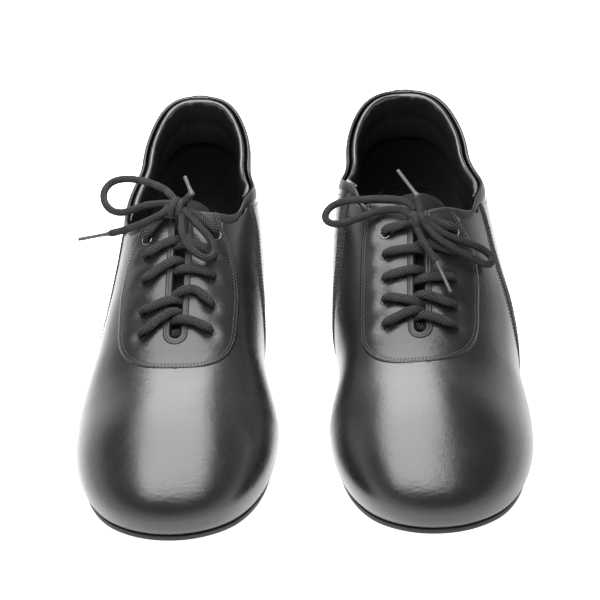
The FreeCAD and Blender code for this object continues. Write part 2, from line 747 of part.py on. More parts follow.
def lacing(shoe):
    """The lace between the bottom bar and the knot, one solid a rung."""
    pieces = []
    length = 0.0
    knot_x, knot_y = shoe.knot
    for side in (-1, 1):
        for row in range(ROWS - 1):
            solid, run, tight = tube(rung(shoe, side, row), LACE)
            pieces.append(solid)
            length += run
        last = EYELET_YS[shoe.name][side][-1]
        points = [
            shoe.lift(shoe.slit_x(last) + side * EYELET_X, last, LACE_UNDER),
            shoe.lift(shoe.slit_x(last) + side * EYELET_X, last, LACE_OVER - 0.6),
            shoe.lift(shoe.slit_x(last) + side * 13.5, last + 0.25 * (knot_y - last), LACE_OVER + 0.8),
            shoe.lift(knot_x + side * 7.0, knot_y + 2.0, LACE_OVER + 1.8),
            shoe.lift(knot_x + side * 2.5, knot_y + 1.5, LACE_OVER + 2.2),
        ]
        solid, run, tight = tube(points, LACE)
        pieces.append(solid)
        length += run
    bar = []
    for x in (-13.8, -5.0, 5.0, 13.8):
        first = EYELET_YS[shoe.name][-1 if x < 0 else 1][0] - 0.3
        bar.append(shoe.lift(shoe.slit_x(first) + x, first, LACE_UNDER))
    solid, run, tight = tube(bar, LACE)
    length += run
    pieces.append(solid)
    print(shoe.name, "lacing length", round(length, 1))
    return Part.makeCompound(pieces)


def knot_centre(shoe):
    return shoe.lift(shoe.knot[0], shoe.knot[1], KNOT_LIFT)


def lace_knot(shoe):
    ball = Part.makeSphere(1.0)
    stretch = FreeCAD.Matrix()
    stretch.scale(KNOT_SIZE[0], KNOT_SIZE[1], KNOT_SIZE[2])
    knot = ball.transformGeometry(stretch)
    knot.translate(knot_centre(shoe))
    return knot


# Free ends of the laces: points in each shoe's own frame, from the knot outwards.
BOW = {
    "left": {
        "lace_loop_inner": (
            (-0.5, 159, 97.5), (-5, 163.5, 101), (-12, 166.5, 101), (-20, 170.5, 99), (-29, 175.5, 95.5),
            (-38, 179, 93), (-45.5, 177.5, 90.5), (-49, 171.5, 88.5), (-46.5, 167, 87), (-40, 166.5, 86.5),
            (-31, 168.5, 88.5), (-21, 167.5, 93), (-12, 165, 96), (-5, 160.5, 96.5)),
        "lace_loop_outer": (
            (3.5, 154.5, 95), (10, 148.5, 91.5), (17.5, 145.5, 88), (26, 146.5, 83.5), (33.5, 148, 78),
            (37.5, 145, 73.5), (33.5, 140, 74.5), (26.5, 140, 80), (17, 140.5, 86), (9, 143.5, 90.5),
            (3.5, 150.5, 93.5)),
        "lace_tail_up": ((2, 158, 98.5), (2.5, 160, 101.5), (-0.5, 163.5, 105)),
        "lace_tail_down": ((-1.5, 152.5, 94), (0.5, 145, 90.5), (4, 137.5, 87), (8, 131.5, 83)),
    },
    "right": {
        "lace_loop_outer": (
            (4, 170, 100.5), (8, 178, 101), (14.5, 186, 99.5), (23.5, 193.5, 98), (33.5, 198.5, 96),
            (41, 198.5, 94), (45, 192.5, 92), (44, 183.5, 90.5), (39.5, 177, 89.5), (33.5, 175, 89.5),
            (27, 176, 91.5), (20, 174, 95.5), (12, 171, 98.5), (6, 169.5, 99.5)),
        "lace_loop_inner": (
            (0.5, 164, 99), (0, 156, 97), (-0.5, 149.5, 94), (-4, 143.5, 90.5), (-9.5, 139.5, 88),
            (-14.5, 139.5, 86), (-17, 143.5, 87), (-15.5, 149, 90.5), (-10.5, 153.5, 94.5),
            (-5, 158.5, 97.5), (-1, 163, 99.5)),
        "lace_tail_up": ((-0.5, 166.5, 102.5), (-3.5, 165.5, 104.5), (-4.8, 167.5, 107.5)),
        "lace_tail_down": (
            (6, 164.5, 99.5), (13, 163, 96), (19.5, 163.5, 92), (27, 166.5, 86.5), (34, 170, 81.5),
            (41, 172.5, 78)),
    },
}
TIP_WAY = {
    "left": {"lace_tail_up": (-9.5, 15.5, 7), "lace_tail_down": (6, -15.5, -8.5)},
    "right": {"lace_tail_up": (3.3, 6.5, 5), "lace_tail_down": (17, -0.5, -3.5)},
}
TIP_LENGTH = {"left": (17.0, 17.0), "right": (9.0, 16.0)}


def cord(shoe, key, points):
    solid, length, tight = tube([Vector(*point) for point in points], LACE)
    exact = math.pi * (LACE / 2) ** 2 * length
    print(shoe.name, key, "length", round(length, 1), "tightest radius", round(tight, 1),
          "volume ratio", round(solid.Volume / exact, 4))
    return solid


def aglets(shoe):
    """Hard tips on the two tails."""
    tips = []
    for key, long in zip(("lace_tail_up", "lace_tail_down"), TIP_LENGTH[shoe.name]):
        end = Vector(*BOW[shoe.name][key][-1])
        way = Vector(*TIP_WAY[shoe.name][key]).normalize()
        tips.append(Part.makeCylinder(AGLET / 2, long, end + way * 1.0, way))
    return Part.makeCompound(tips)


# ---- the pair ---------------------------------------------------------------------------
SHOES = (
    Shoe("left", 1, (64.5, -0.5), 1.2, {-1: 0.12, 1: 0.14}, (-3.0, 0.8), {-1: 27.5, 1: 19.0}, (0.6, 158.0)),
    Shoe("right", -1, (-60.5, 1.5), -3.9, {-1: 0.0, 1: -0.03}, (1.2, 1.0), {-1: 19.5, 1: 21.0},
         (3.0, 168.5)),
)


def pieces_of(shoe):
    flex = BALL_Y
    yield "vamp_toe", vamp_toe(shoe)
    yield "toe_puff", toe_puff(shoe)
    yield "vamp_lining", vamp_lining(shoe)
    yield "outsole_front", outsole(shoe, -2, flex - FLEX_GAP)
    yield "insole_front", insole(shoe, -2, flex - FLEX_GAP)
    yield "vamp_wings", vamp_wings(shoe)
    yield "side_gores", side_gores(shoe)
    yield "quarter_inner", quarter(shoe, -1)
    yield "quarter_outer", quarter(shoe, 1)
    yield "back_strip", back_strip(shoe)
    yield "heel_counter", heel_counter(shoe)
    yield "quarter_lining", quarter_lining(shoe)
    yield "collar_pad", collar_pad(shoe)
    yield "topline_band", topline_band(shoe)
    yield "eyestay", eyestay(shoe)
    yield "throat_binding", throat_binding(shoe)
    yield "eyelets", eyelets(shoe)
    yield "tongue", tongue(shoe)
    yield "outsole_rear", outsole(shoe, flex + FLEX_GAP, LENGTH + 2)
    yield "insole_rear", insole(shoe, flex + FLEX_GAP, LENGTH + 2)
    yield "shank", shank(shoe)
    yield "heel_block", heel_block(shoe)
    yield "heel_tip", heel_tip(shoe)
    yield "lacing", lacing(shoe)
    yield "lace_knot", lace_knot(shoe)
    for key, points in BOW[shoe.name].items():
        yield key, cord(shoe, key, points)
    yield "aglets", aglets(shoe)


os.makedirs("parts", exist_ok=True)
for shoe in SHOES:
    for name, shape in pieces_of(shoe):
        placed = shoe.world(shape)
        if not placed.isValid() or placed.Volume <= 0:
            print("CHECK", shoe.name, name, "valid", placed.isValid(), "volume", round(placed.Volume, 1))
        placed.exportStep("parts/%s_%s.step" % (shoe.name, name))
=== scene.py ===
import math
import bpy
import bmesh
import numpy as np
from mathutils import Matrix, Vector, noise


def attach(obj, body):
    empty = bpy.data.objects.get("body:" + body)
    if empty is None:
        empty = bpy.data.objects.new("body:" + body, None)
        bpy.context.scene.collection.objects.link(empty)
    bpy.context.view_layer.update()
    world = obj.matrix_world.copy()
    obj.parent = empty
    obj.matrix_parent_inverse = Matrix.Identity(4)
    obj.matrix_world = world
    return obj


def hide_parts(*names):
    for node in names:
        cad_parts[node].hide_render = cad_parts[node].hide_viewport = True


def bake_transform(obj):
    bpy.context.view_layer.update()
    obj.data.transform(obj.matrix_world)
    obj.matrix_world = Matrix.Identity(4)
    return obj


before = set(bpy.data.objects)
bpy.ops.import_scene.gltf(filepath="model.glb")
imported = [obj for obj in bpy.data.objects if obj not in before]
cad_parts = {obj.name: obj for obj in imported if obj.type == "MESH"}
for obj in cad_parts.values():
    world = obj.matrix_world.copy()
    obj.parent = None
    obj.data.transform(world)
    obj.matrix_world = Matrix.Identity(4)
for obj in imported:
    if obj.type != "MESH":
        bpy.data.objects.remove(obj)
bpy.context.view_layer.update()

# A pair of black leather lace-up dance shoes. Each piece is worked out in its shoe's own frame in
# millimetres (x positive towards the outside of the foot, y from the toe tip, z up), on the same
# surface as the CAD parts, and then placed in the pair in metres.

# ---- the last's driving dimensions, as in the CAD model --------------------------------------
LENGTH = 290.0
BALL_Y = 78.0
HEEL_Y = 240.0
TOE_RUN = 100.0
HEEL_RUN = 58.0
TOE_A = BALL_Y - TOE_RUN
BACK_A = HEEL_Y + HEEL_RUN
TOE_ROUNDNESS = 2.18
HEEL_ROUNDNESS = 2.3
FEATHER_W = -0.25
TUCK = 5.0
SKIN = 1.2
LINING_DEPTH = 2.2
OUTSOLE_INSET = 3.6
INSOLE_INSET = 9.2
LACE = 3.8
# Rows of eyelets from the toe up, on the inside (-1) and the outside (1) of each shoe.
EYELET_YS = {
    "left": {-1: (110.2, 123.5, 134.0, 146.0, 158.3), 1: (105.5, 116.8, 131.0, 144.5, 157.5)},
    "right": {-1: (108.2, 122.3, 137.4, 149.0, 161.0), 1: (106.5, 118.6, 135.3, 148.7, 159.3)},
}
ROWS = 5
EYELET_X = 18.0
SLIT_HALF = 2.2
SLIT_BOTTOM_Y = 103.0
SLIT_TOP_Y = 169.0
SLIT_END_Y = {-1: 169.0, 1: 166.5}
BINDING = 4.2
SEAM_BOTTOM_Y = 84.5
SEAM_ROUND_Y = 117.0
SEAM_WIDE = 31.0
SEAM_POWER = 2.4
FACING_Y = 170.0
FACING_RISE = {
    -1: ((0, 0), (12, 1.5), (20.5, 4), (26, 7.5), (29.5, 13.5), (32, 23)),
    1: ((0, -4), (8, -1.8), (14, 0.3), (20.5, 1.8), (27, 4.5), (30, 8.5), (32, 16)),
}
CORNER_X = 32.0
CORNER_Y = {side: FACING_Y + rise[-1][1] for side, rise in FACING_RISE.items()}
GORE = 8.0
GORE_AHEAD = {
    -1: ((0, 60), (0.3, 43), (0.6, 24), (0.85, 6), (1, 0)),
    1: ((0, 70), (0.3, 57), (0.6, 36), (0.85, 8), (1, 0)),
}
GORE_RISE = {
    -1: ((0, 0), (0.3, 0.42), (0.6, 0.68), (0.85, 0.84), (1, 1)),
    1: ((0, 0), (0.3, 0.55), (0.6, 0.8), (0.85, 0.9), (1, 1)),
}
GORE_NARROW = 0.25
STRIP_GAP = 0.4
GORE_SCALE = 75.0
HALF_WIDTH = {
    -1: ((BALL_Y, 52.5), (125, 43.0), (170, 41.0), (205, 38.0), (HEEL_Y, 30.5)),
    1: ((BALL_Y, 52.5), (125, 47.0), (170, 41.0), (205, 36.5), (HEEL_Y, 30.0)),
}
RIDGE_Z = ((0, 48), (45, 54.5), (BALL_Y, 54.5), (88, 56), (112, 65), (145, 82), (175, 96), (205, 108),
           (245, 122), (290, 126))
WIDEST_Z = ((0, 21), (40, 17.5), (88, 16.5), (130, 24), (170, 38), (205, 46), (240, 48), (290, 48))
FEATHER_Z = ((0, 11.5), (22, 7.6), (50, 4.6), (BALL_Y, 3.6), (110, 5.2), (150, 13.5), (180, 21),
             (210, 26), (235, 28), (290, 28))
FULLNESS = ((0, 2.0), (88, 2.0), (130, 2.15), (175, 2.15), (210, 2.85), (290, 2.85))
RIM_Z = ((228, 78.5), (260, 83), (290, 92.5))

# The forefoot bends over this stretch (y, from the heel's side to the toe's side).
BEND_START_Y = 92.0
BEND_END_Y = 38.0
BEND_Z = 4.0


def smooth(stations, at):
    """Cubic Hermite curve through (place, value) pairs, level at both ends."""
    places = np.array([s[0] for s in stations], float)
    values = np.array([s[1] for s in stations], float)
    steps = np.diff(places)
    rises = np.diff(values) / steps
    slopes = np.zeros(len(places))
    slopes[1:-1] = (rises[:-1] * steps[1:] + rises[1:] * steps[:-1]) / (steps[1:] + steps[:-1])
    at = np.clip(np.asarray(at, float), places[0], places[-1])
    i = np.clip(np.searchsorted(places, at, "right") - 1, 0, len(steps) - 1)
    t = (at - places[i]) / steps[i]
    return ((1 + 2 * t) * (1 - t) ** 2 * values[i] + t * (1 - t) ** 2 * steps[i] * slopes[i]
            + t * t * (3 - 2 * t) * values[i + 1] + t * t * (t - 1) * steps[i] * slopes[i + 1])


def ease(t):
    t = np.clip(t, 0.0, 1.0)
    return t * t * (3 - 2 * t)


def hump(t, wide):
    return np.exp(-(t / wide) ** 2)


def unit(v):
    return v / np.maximum(np.linalg.norm(v, axis=-1, keepdims=True), 1e-12)


def stack(x, y, z):
    return np.stack(np.broadcast_arrays(x, y, z), axis=-1)


def walked(line):
    """How far along a dense line each of its points lies."""
    return np.concatenate([[0], np.cumsum(np.linalg.norm(np.diff(line, axis=0), axis=1))])


def read_at(at, walk, line):
    """A dense line's points at the distances in at."""
    return np.stack([np.interp(at, walk, line[:, i]) for i in range(3)], axis=1)


def turns_round(count):
    return np.linspace(0, math.tau, count + 1)[:-1]


class Shoe:
    def __init__(self, name, hand, place, yaw, spread, slit_shift, seam_top, knot):
        self.name, self.hand, self.place, self.yaw = name, hand, place, yaw
        self.spread, self.slit_shift, self.seam_top, self.knot = spread, slit_shift, seam_top, knot
        self.body = name + "_shoe"
        self.fore = name + "_forefoot"

    def by_side(self, side, table, y):
        return np.where(np.asarray(side) < 0, smooth(table[-1], y), smooth(table[1], y))

    def half_width(self, side, y):
        spread = np.where(np.asarray(side) < 0, self.spread[-1], self.spread[1])
        bump = ease((y - 100) / 50) * ease((LENGTH - y) / 60)
        return self.by_side(side, HALF_WIDTH, y) * (1 + spread * bump)

    def outline(self, side, a, inset=0.0, worn=True):
        a = np.asarray(a, float)
        toe, heel = a < BALL_Y, a > HEEL_Y
        turn = np.where(toe, (BALL_Y - a) / TOE_RUN, np.where(heel, (a - HEEL_Y) / HEEL_RUN, 0)) * math.pi / 2
        power = np.where(toe, TOE_ROUNDNESS, HEEL_ROUNDNESS)
        run = np.where(toe, -BALL_Y, LENGTH - HEEL_Y)
        centre = np.where(toe, BALL_Y, np.where(heel, HEEL_Y, a))
        station = np.clip(a, BALL_Y, HEEL_Y)
        wide = self.half_width(side, station) if worn else self.by_side(side, HALF_WIDTH, station)
        cos, sin = np.cos(turn), np.sin(turn)
        size = (np.abs(cos) ** power + np.abs(sin) ** power) ** (1 / power)
        x, y = wide * cos / size, run * sin / size
        shrink = 1 - inset / np.hypot(x, y)
        return side * x * shrink, centre + y * shrink, centre

    def point(self, side, a, w):
        side, a, w = np.broadcast_arrays(np.asarray(side, float), np.asarray(a, float), np.asarray(w, float))
        x, y, centre = self.outline(side, a)
        turn = math.pi / 2 * np.maximum(w, 0)
        cos, sin = np.cos(turn), np.sin(turn)
        here = y
        for _ in range(2):
            power = smooth(FULLNESS, here)
            size = (np.abs(cos) ** power + np.abs(sin) ** power) ** (1 / power)
            here = centre + (y - centre) * cos / size
        level = smooth(WIDEST_Z, here)
        upper = stack(x * cos / size, here, level + (smooth(RIDGE_Z, here) - level) * sin / size)
        low = np.clip(w / FEATHER_W, 0, 1.1)
        foot_x, foot_y, centre = self.outline(side, a, TUCK, worn=False)
        curl = (1 - np.sqrt(np.maximum(1 - 0.75 * low * low, 0))) / 0.5
        top = smooth(WIDEST_Z, y)
        under = stack(x + (foot_x - x) * curl, y + (foot_y - y) * curl,
                      top + (smooth(FEATHER_Z, foot_y) - top) * low)
        return np.where((w < 0)[..., None], under, upper)

    def height(self, x, y):
        side = np.where(x < 0, -1, 1)
        across = np.abs(x) / self.half_width(side, np.maximum(y, BALL_Y))
        along = np.maximum(np.maximum((BALL_Y - y) / BALL_Y, (y - HEEL_Y) / (LENGTH - HEEL_Y)), 0.0)
        power = np.where(y < HEEL_Y, TOE_ROUNDNESS, HEEL_ROUNDNESS)
        gauge = (across ** power + along ** power) ** (1 / power)
        full, low = smooth(FULLNESS, y), smooth(WIDEST_Z, y)
        return low + (smooth(RIDGE_Z, y) - low) * np.maximum(1 - gauge ** full, 0.0) ** (1 / full)

    def lift(self, x, y, out=0.0):
        x, y, out = np.broadcast_arrays(np.asarray(x, float), np.asarray(y, float), np.asarray(out, float))
        step = 0.5
        dx = (self.height(x + step, y) - self.height(x - step, y)) / (2 * step)
        dy = (self.height(x, y + step) - self.height(x, y - step)) / (2 * step)
        normal = unit(stack(-dx, -dy, np.ones_like(x)))
        return stack(x, y, self.height(x, y)) + normal * out[..., None]

    def lift_and_way(self, x, y):
        """The surface at plan places, and one millimetre out from it there."""
        base = self.lift(x, y)
        return base, self.lift(x, y, 1.0) - base

    def normal(self, side, a, w):
        here = self.point(side, a, w)
        flat = self.lift(here[..., 0], here[..., 1], 1.0) - self.lift(here[..., 0], here[..., 1])
        along = self.point(side, np.asarray(a) + 0.3, w) - self.point(side, np.asarray(a) - 0.3, w)
        w = np.broadcast_to(np.asarray(w, float), here.shape[:-1])
        low = np.where((w >= 0) & (w < 0.004), w, np.maximum(w - 0.004, FEATHER_W))
        high = np.where((w < 0) & (w > -0.004), w, w + 0.004)
        up = self.point(side, a, high) - self.point(side, a, low)
        steep = np.cross(along, up) * np.asarray(side, float)[..., None]
        return unit(np.where((w > 0.7)[..., None], flat, unit(steep)))

    def skin(self, side, a, w, depth=0.0):
        side, a, w, depth = np.broadcast_arrays(np.asarray(side, float), a, w, depth)
        return self.point(side, a, w) - self.normal(side, a, w) * depth[..., None]

    def w_of_x(self, side, x, y):
        across = np.minimum(np.abs(x) / self.half_width(side, y), 1.0)
        full = smooth(FULLNESS, y)
        return np.arctan2((1 - across ** full) ** (1 / full), across) / (math.pi / 2)

    def w_of_z(self, side, a, z):
        y = self.outline(side, a)[1]
        full, low = smooth(FULLNESS, y), smooth(WIDEST_Z, y)
        up = (z - low) / (smooth(RIDGE_Z, y) - low)
        return np.arctan2(up, (1 - up ** full) ** (1 / full)) / (math.pi / 2)

    def slit_x(self, y):
        low, high = self.slit_shift
        return low + (high - low) * ease((y - SLIT_BOTTOM_Y) / (SLIT_TOP_Y - SLIT_BOTTOM_Y))

    def facing_top_y(self, side, x):
        return FACING_Y + smooth(FACING_RISE[side], x)

    def seam_end(self, side):
        return self.seam_top[side], float(self.facing_top_y(side, self.seam_top[side]))

    def seam_x(self, side, y):
        end_x, end_y = self.seam_end(side)
        middle_x = (SEAM_WIDE + end_x) / 2 + 1.5
        line = ((SEAM_ROUND_Y, SEAM_WIDE), (136, SEAM_WIDE), (156, middle_x), (end_y, end_x))
        return self.slit_x(y) + side * smooth(line, y)

    def inner_w(self, side, y):
        line = ((84, 0), (92, 13), (100, 21), (118, 23.5), (150, 21.6), (164, 21.2))
        line += tuple((float(self.facing_top_y(side, x)), x + 0.4) for x in (21.5, 27.0, CORNER_X - 0.6))
        middle = self.slit_x(y) * ease((y - 86) / 12)
        return self.w_of_x(side, middle + side * smooth(line, y), y)

    def corner_w(self, side):
        y = CORNER_Y[side]
        return float(self.w_of_x(side, self.slit_x(y) + side * CORNER_X, y))

    def rim_w(self, side, a):
        corner = self.corner_w(side)
        start = CORNER_Y[side]
        line = ((start, float(self.point(side, start, corner)[2])),) + RIM_Z
        return self.w_of_z(side, a, smooth(line, self.outline(side, a)[1]))

    def place_points(self, points):
        """From the shoe's own frame in millimetres to the pair's frame in metres."""
        p = np.array(points, float).reshape(-1, 3)
        p[:, 1] -= LENGTH / 2
        p[:, 0] *= self.hand
        turn = math.radians(self.yaw)
        x = p[:, 0] * math.cos(turn) - p[:, 1] * math.sin(turn) + self.place[0]
        y = p[:, 0] * math.sin(turn) + p[:, 1] * math.cos(turn) + self.place[1]
        return np.stack([x, y, p[:, 2]], axis=1) / 1000

    def node(self, name):
        return "%s_%s" % (self.name, name)


SHOES = (
    Shoe("left", 1, (64.5, -0.5), 1.2, {-1: 0.12, 1: 0.14}, (-3.0, 0.8), {-1: 27.5, 1: 19.0}, (0.6, 158.0)),
    Shoe("right", -1, (-60.5, 1.5), -3.9, {-1: 0.0, 1: -0.03}, (1.2, 1.0), {-1: 19.5, 1: 21.0},
         (3.0, 168.5)),
)


# ---- materials -----------------------------------------------------------------------------------
def new_material(name, color, roughness, **more):
    material = bpy.data.materials.new(name)
    material.use_nodes = True
    nodes, links = material.node_tree.nodes, material.node_tree.links
    shader = nodes["Principled BSDF"]
    shader.inputs["Base Color"].default_value = (*color, 1)
    shader.inputs["Roughness"].default_value = roughness
    for key, value in more.items():
        shader.inputs[key.replace("_", " ")].default_value = value
    return material, nodes, links, shader


def object_coords(nodes):
    return nodes.new("ShaderNodeTexCoord").outputs["Object"]


def noise_node(nodes, links, coords, scale, detail=4.0, stretch=None):
    texture = nodes.new("ShaderNodeTexNoise")
    texture.inputs["Scale"].default_value = scale
    texture.inputs["Detail"].default_value = detail
    if stretch is not None:
        mapping = nodes.new("ShaderNodeMapping")
        mapping.inputs["Scale"].default_value = stretch
        links.new(coords, mapping.inputs["Vector"])
        coords = mapping.outputs["Vector"]
    links.new(coords, texture.inputs["Vector"])
    return texture.outputs["Fac"]


def spread_values(nodes, links, value, low, high):
    """Maps a texture's 0.3 to 0.7 onto low to high."""
    ramp = nodes.new("ShaderNodeMapRange")
    ramp.inputs["From Min"].default_value = 0.3
    ramp.inputs["From Max"].default_value = 0.7
    ramp.inputs["To Min"].default_value = low
    ramp.inputs["To Max"].default_value = high
    links.new(value, ramp.inputs["Value"])
    return ramp.outputs["Result"]


def add_bump(nodes, links, shader, height, distance, strength=1.0, before=None):
    bump = nodes.new("ShaderNodeBump")
    bump.inputs["Distance"].default_value = distance
    bump.inputs["Strength"].default_value = strength
    links.new(height, bump.inputs["Height"])
    if before is not None:
        links.new(before, bump.inputs["Normal"])
    links.new(bump.outputs["Normal"], shader.inputs["Normal"])
    return bump.outputs["Normal"]


def tint(nodes, links, shader, value, dark, light):
    mix = nodes.new("ShaderNodeMix")
    mix.data_type = "RGBA"
    mix.inputs["A"].default_value = (*dark, 1)
    mix.inputs["B"].default_value = (*light, 1)
    links.new(value, mix.inputs["Factor"])
    links.new(mix.outputs["Result"], shader.inputs["Base Color"])


def leather(name, dark, light, smooth_end, rough_end, grain=0.00009, wrinkle=0.00022, shine=0.6):
    """Fine-grained leather: pores, soft wrinkles, and a polish that varies from place to place."""
    material, nodes, links, shader = new_material(name, dark, 0.35, Specular_IOR_Level=shine)
    coords = object_coords(nodes)
    cloudy = noise_node(nodes, links, coords, 38, 5)
    tint(nodes, links, shader, cloudy, dark, light)
    links.new(spread_values(nodes, links, cloudy, smooth_end, rough_end), shader.inputs["Roughness"])
    pores = nodes.new("ShaderNodeTexVoronoi")
    pores.inputs["Scale"].default_value = 1500
    links.new(coords, pores.inputs["Vector"])
    first = add_bump(nodes, links, shader, pores.outputs["Distance"], grain, 0.35)
    creases = noise_node(nodes, links, coords, 260, 6, (1.0, 2.6, 1.6))
    add_bump(nodes, links, shader, creases, wrinkle, 0.5, first)
    return material


def braid_material():
    """Woven lace: slanted strands both ways round the cord, from the tube's own u and v."""
    material, nodes, links, shader = new_material("lace_braid", (0.01, 0.01, 0.011), 0.65,
                                                  Specular_IOR_Level=0.1, Sheen_Weight=0.0)
    uv = nodes.new("ShaderNodeTexCoord").outputs["UV"]
    split = nodes.new("ShaderNodeSeparateXYZ")
    links.new(uv, split.inputs["Vector"])

    def math_node(kind, one, two=None):
        node = nodes.new("ShaderNodeMath")
        node.operation = kind
        for slot, value in zip(node.inputs, (one, two)):
            if isinstance(value, (int, float)):
                slot.default_value = value
            elif value is not None:
                links.new(value, slot)
        return node.outputs["Value"]
    strands = []
    for slant in (1, -1):
        around = math_node("MULTIPLY", split.outputs["X"], 8 * math.tau)
        along = math_node("MULTIPLY", split.outputs["Y"], slant * math.tau / 1.5)
        strands.append(math_node("SINE", math_node("ADD", around, along)))
    weave = math_node("MAXIMUM", strands[0], strands[1])
    # Painted highlight on the strands' crests, and painted shade, near-black, in the grooves between strands:
    # the tint below puts both into the base colour.
    crest_highlight = math_node("MAXIMUM", math_node("DIVIDE", math_node("SUBTRACT", weave, 0.5), 0.5), 0.0)
    tint(nodes, links, shader, math_node("POWER", crest_highlight, 2.5), (0.0008, 0.0008, 0.0009), (0.06, 0.06, 0.062))
    add_bump(nodes, links, shader, weave, 0.00022, 0.8)
    return material


def hard(name, color, roughness, scale, detail, polish=None, shades=None, **more):
    """A hard finish whose polish or shade varies finely."""
    material, nodes, links, shader = new_material(name, color, roughness, **more)
    fine = noise_node(nodes, links, object_coords(nodes), scale, detail)
    if polish:
        links.new(spread_values(nodes, links, fine, *polish), shader.inputs["Roughness"])
    if shades:
        tint(nodes, links, shader, fine, *shades)
    return material


BLACK = (0.005, 0.005, 0.0055)


def make_materials():
    made = {}
    made["leather"] = leather("black_leather", BLACK, (0.0095, 0.0095, 0.01), 0.23, 0.31)
    made["facing"] = leather("facing_leather", BLACK, (0.011, 0.0105, 0.0105), 0.24, 0.35,
                             wrinkle=0.00035, shine=0.4)
    made["lining_leather"] = leather("collar_leather", BLACK, (0.01, 0.01, 0.0105), 0.16, 0.26,
                                     wrinkle=0.0003)
    made["binding"] = leather("binding_leather", BLACK, (0.01, 0.01, 0.0105), 0.36, 0.48, shine=0.3)
    made["tongue"] = leather("tongue_leather", (0.002, 0.0018, 0.0013), (0.004, 0.0036, 0.0026), 0.55, 0.7,
                             shine=0.1)
    made["insole"] = leather("insole_leather", (0.0012, 0.0012, 0.0012), (0.0025, 0.0025, 0.0025), 0.7, 0.85,
                             shine=0.06)
    made["lining"] = fabric("lining_cloth", (0.0012, 0.0012, 0.0012), (0.003, 0.003, 0.003), 1400, 0.06)
    made["elastic"] = fabric("elastic_cloth", (0.006, 0.006, 0.0065), (0.02, 0.02, 0.021), 1900)
    made["lace"] = braid_material()
    made["thread"] = fabric("stitch_thread", (0.02, 0.02, 0.021), (0.08, 0.08, 0.08), 2500)
    made["sole_edge"] = leather("sole_edge", (0.007, 0.008, 0.0095), (0.013, 0.0145, 0.017), 0.5, 0.65,
                                shine=0.35)
    made["suede"] = fabric("suede_sole", (0.03, 0.029, 0.027), (0.065, 0.062, 0.058), 900)
    made["heel"] = leather("heel_stack", (0.007, 0.007, 0.0075), (0.013, 0.013, 0.014), 0.3, 0.42)
    made["heel_rubber"] = leather("heel_rubber", (0.01, 0.01, 0.01), (0.02, 0.02, 0.02), 0.6, 0.8)
    made["board"] = fabric("stiffener_board", (0.5, 0.45, 0.36), (0.66, 0.6, 0.5), 700)
    made["metal"] = hard("eyelet_nickel", (0.13, 0.13, 0.135), 0.18, 900, 5, polish=(0.12, 0.3), Metallic=1.0)
    made["black_metal"] = hard("eyelet_black", (0.02, 0.02, 0.021), 0.3, 900, 5,
                               shades=((0.008, 0.008, 0.009), (0.03, 0.03, 0.032)), Metallic=0.6)
    made["steel"] = hard("shank_steel", (0.5, 0.5, 0.52), 0.35, 700, 4, polish=(0.25, 0.5), Metallic=1.0)
    made["aglet"] = hard("aglet_film", (0.1, 0.1, 0.1), 0.3, 500, 4,
                         shades=((0.018, 0.018, 0.019), (0.06, 0.06, 0.06)), Specular_IOR_Level=0.35)
    return made


def fabric(name, dark, light, scale, shine=0.25):
    """Fine cloth or nap: a small uneven weave."""
    material, nodes, links, shader = new_material(name, dark, 0.8, Specular_IOR_Level=shine,
                                                  Sheen_Weight=0.02)
    coords = object_coords(nodes)
    fine = noise_node(nodes, links, coords, scale, 6)
    tint(nodes, links, shader, spread_values(nodes, links, fine, 0, 1), dark, light)
    add_bump(nodes, links, shader, fine, 0.0002, 0.7)
    return material


MATERIALS = make_materials()


# ---- meshes ---------------------------------------------------------------------------------------
def add_object(name, vertices, faces, material, uvs=None):
    mesh = bpy.data.meshes.new(name)
    mesh.from_pydata([tuple(v) for v in vertices], [], [tuple(int(i) for i in f) for f in faces])
    mesh.polygons.foreach_set("use_smooth", [True] * len(mesh.polygons))
    if uvs is not None:
        layer = mesh.uv_layers.new(name="UVMap")
        loops = np.empty(len(mesh.loops), int)
        mesh.loops.foreach_get("vertex_index", loops)
        layer.data.foreach_set("uv", np.asarray(uvs, np.float32)[loops].ravel())
    for one in (material if isinstance(material, (list, tuple)) else [material]):
        mesh.materials.append(one)
    piece = bpy.data.objects.new(name, mesh)
    bpy.context.scene.collection.objects.link(piece)
    return piece


def grid_faces(rows, columns, start=0, wrap=False):
    faces = []
    across = columns if wrap else columns - 1
    for i in range(rows - 1):
        for j in range(across):
            a, b = start + i * columns + j, start + i * columns + (j + 1) % columns
            faces.append((a, b, b + columns, a + columns))
    return faces


def tube_faces(rows, around, start=0):
    """The faces of a tube of rings, closed at both ends."""
    last = start + (rows - 1) * around
    ends = [tuple(range(start, start + around)), tuple(reversed(range(last, last + around)))]
    return grid_faces(rows, around, start, wrap=True) + ends


def shell(shoe, name, patches, material):
    """A closed piece from (outer, inner) pairs of point grids of the same size. Edges that two patches
    share get no wall."""
    vertices, faces, walls = [], [], {}
    for outer, inner in patches:
        rows, columns = outer.shape[:2]
        start = len(vertices)
        vertices.extend(shoe.place_points(outer))
        vertices.extend(shoe.place_points(inner))
        size = rows * columns
        faces += grid_faces(rows, columns, start)
        faces += [tuple(reversed(f)) for f in grid_faces(rows, columns, start + size)]
        rim = [i * columns for i in range(rows)] + [(rows - 1) * columns + j for j in range(1, columns)]
        rim += [i * columns + columns - 1 for i in range(rows - 2, -1, -1)] + list(range(columns - 2, 0, -1))
        for a, b in zip(rim, rim[1:] + rim[:1]):
            ends = frozenset(tuple(np.round(vertices[start + i] * 20000).astype(int)) for i in (a, b))
            walls.setdefault(ends, []).append((start + a, start + size + a, start + size + b, start + b))
    faces += [wall[0] for wall in walls.values() if len(wall) == 1]
    return add_object(shoe.node(name), vertices, faces, material)


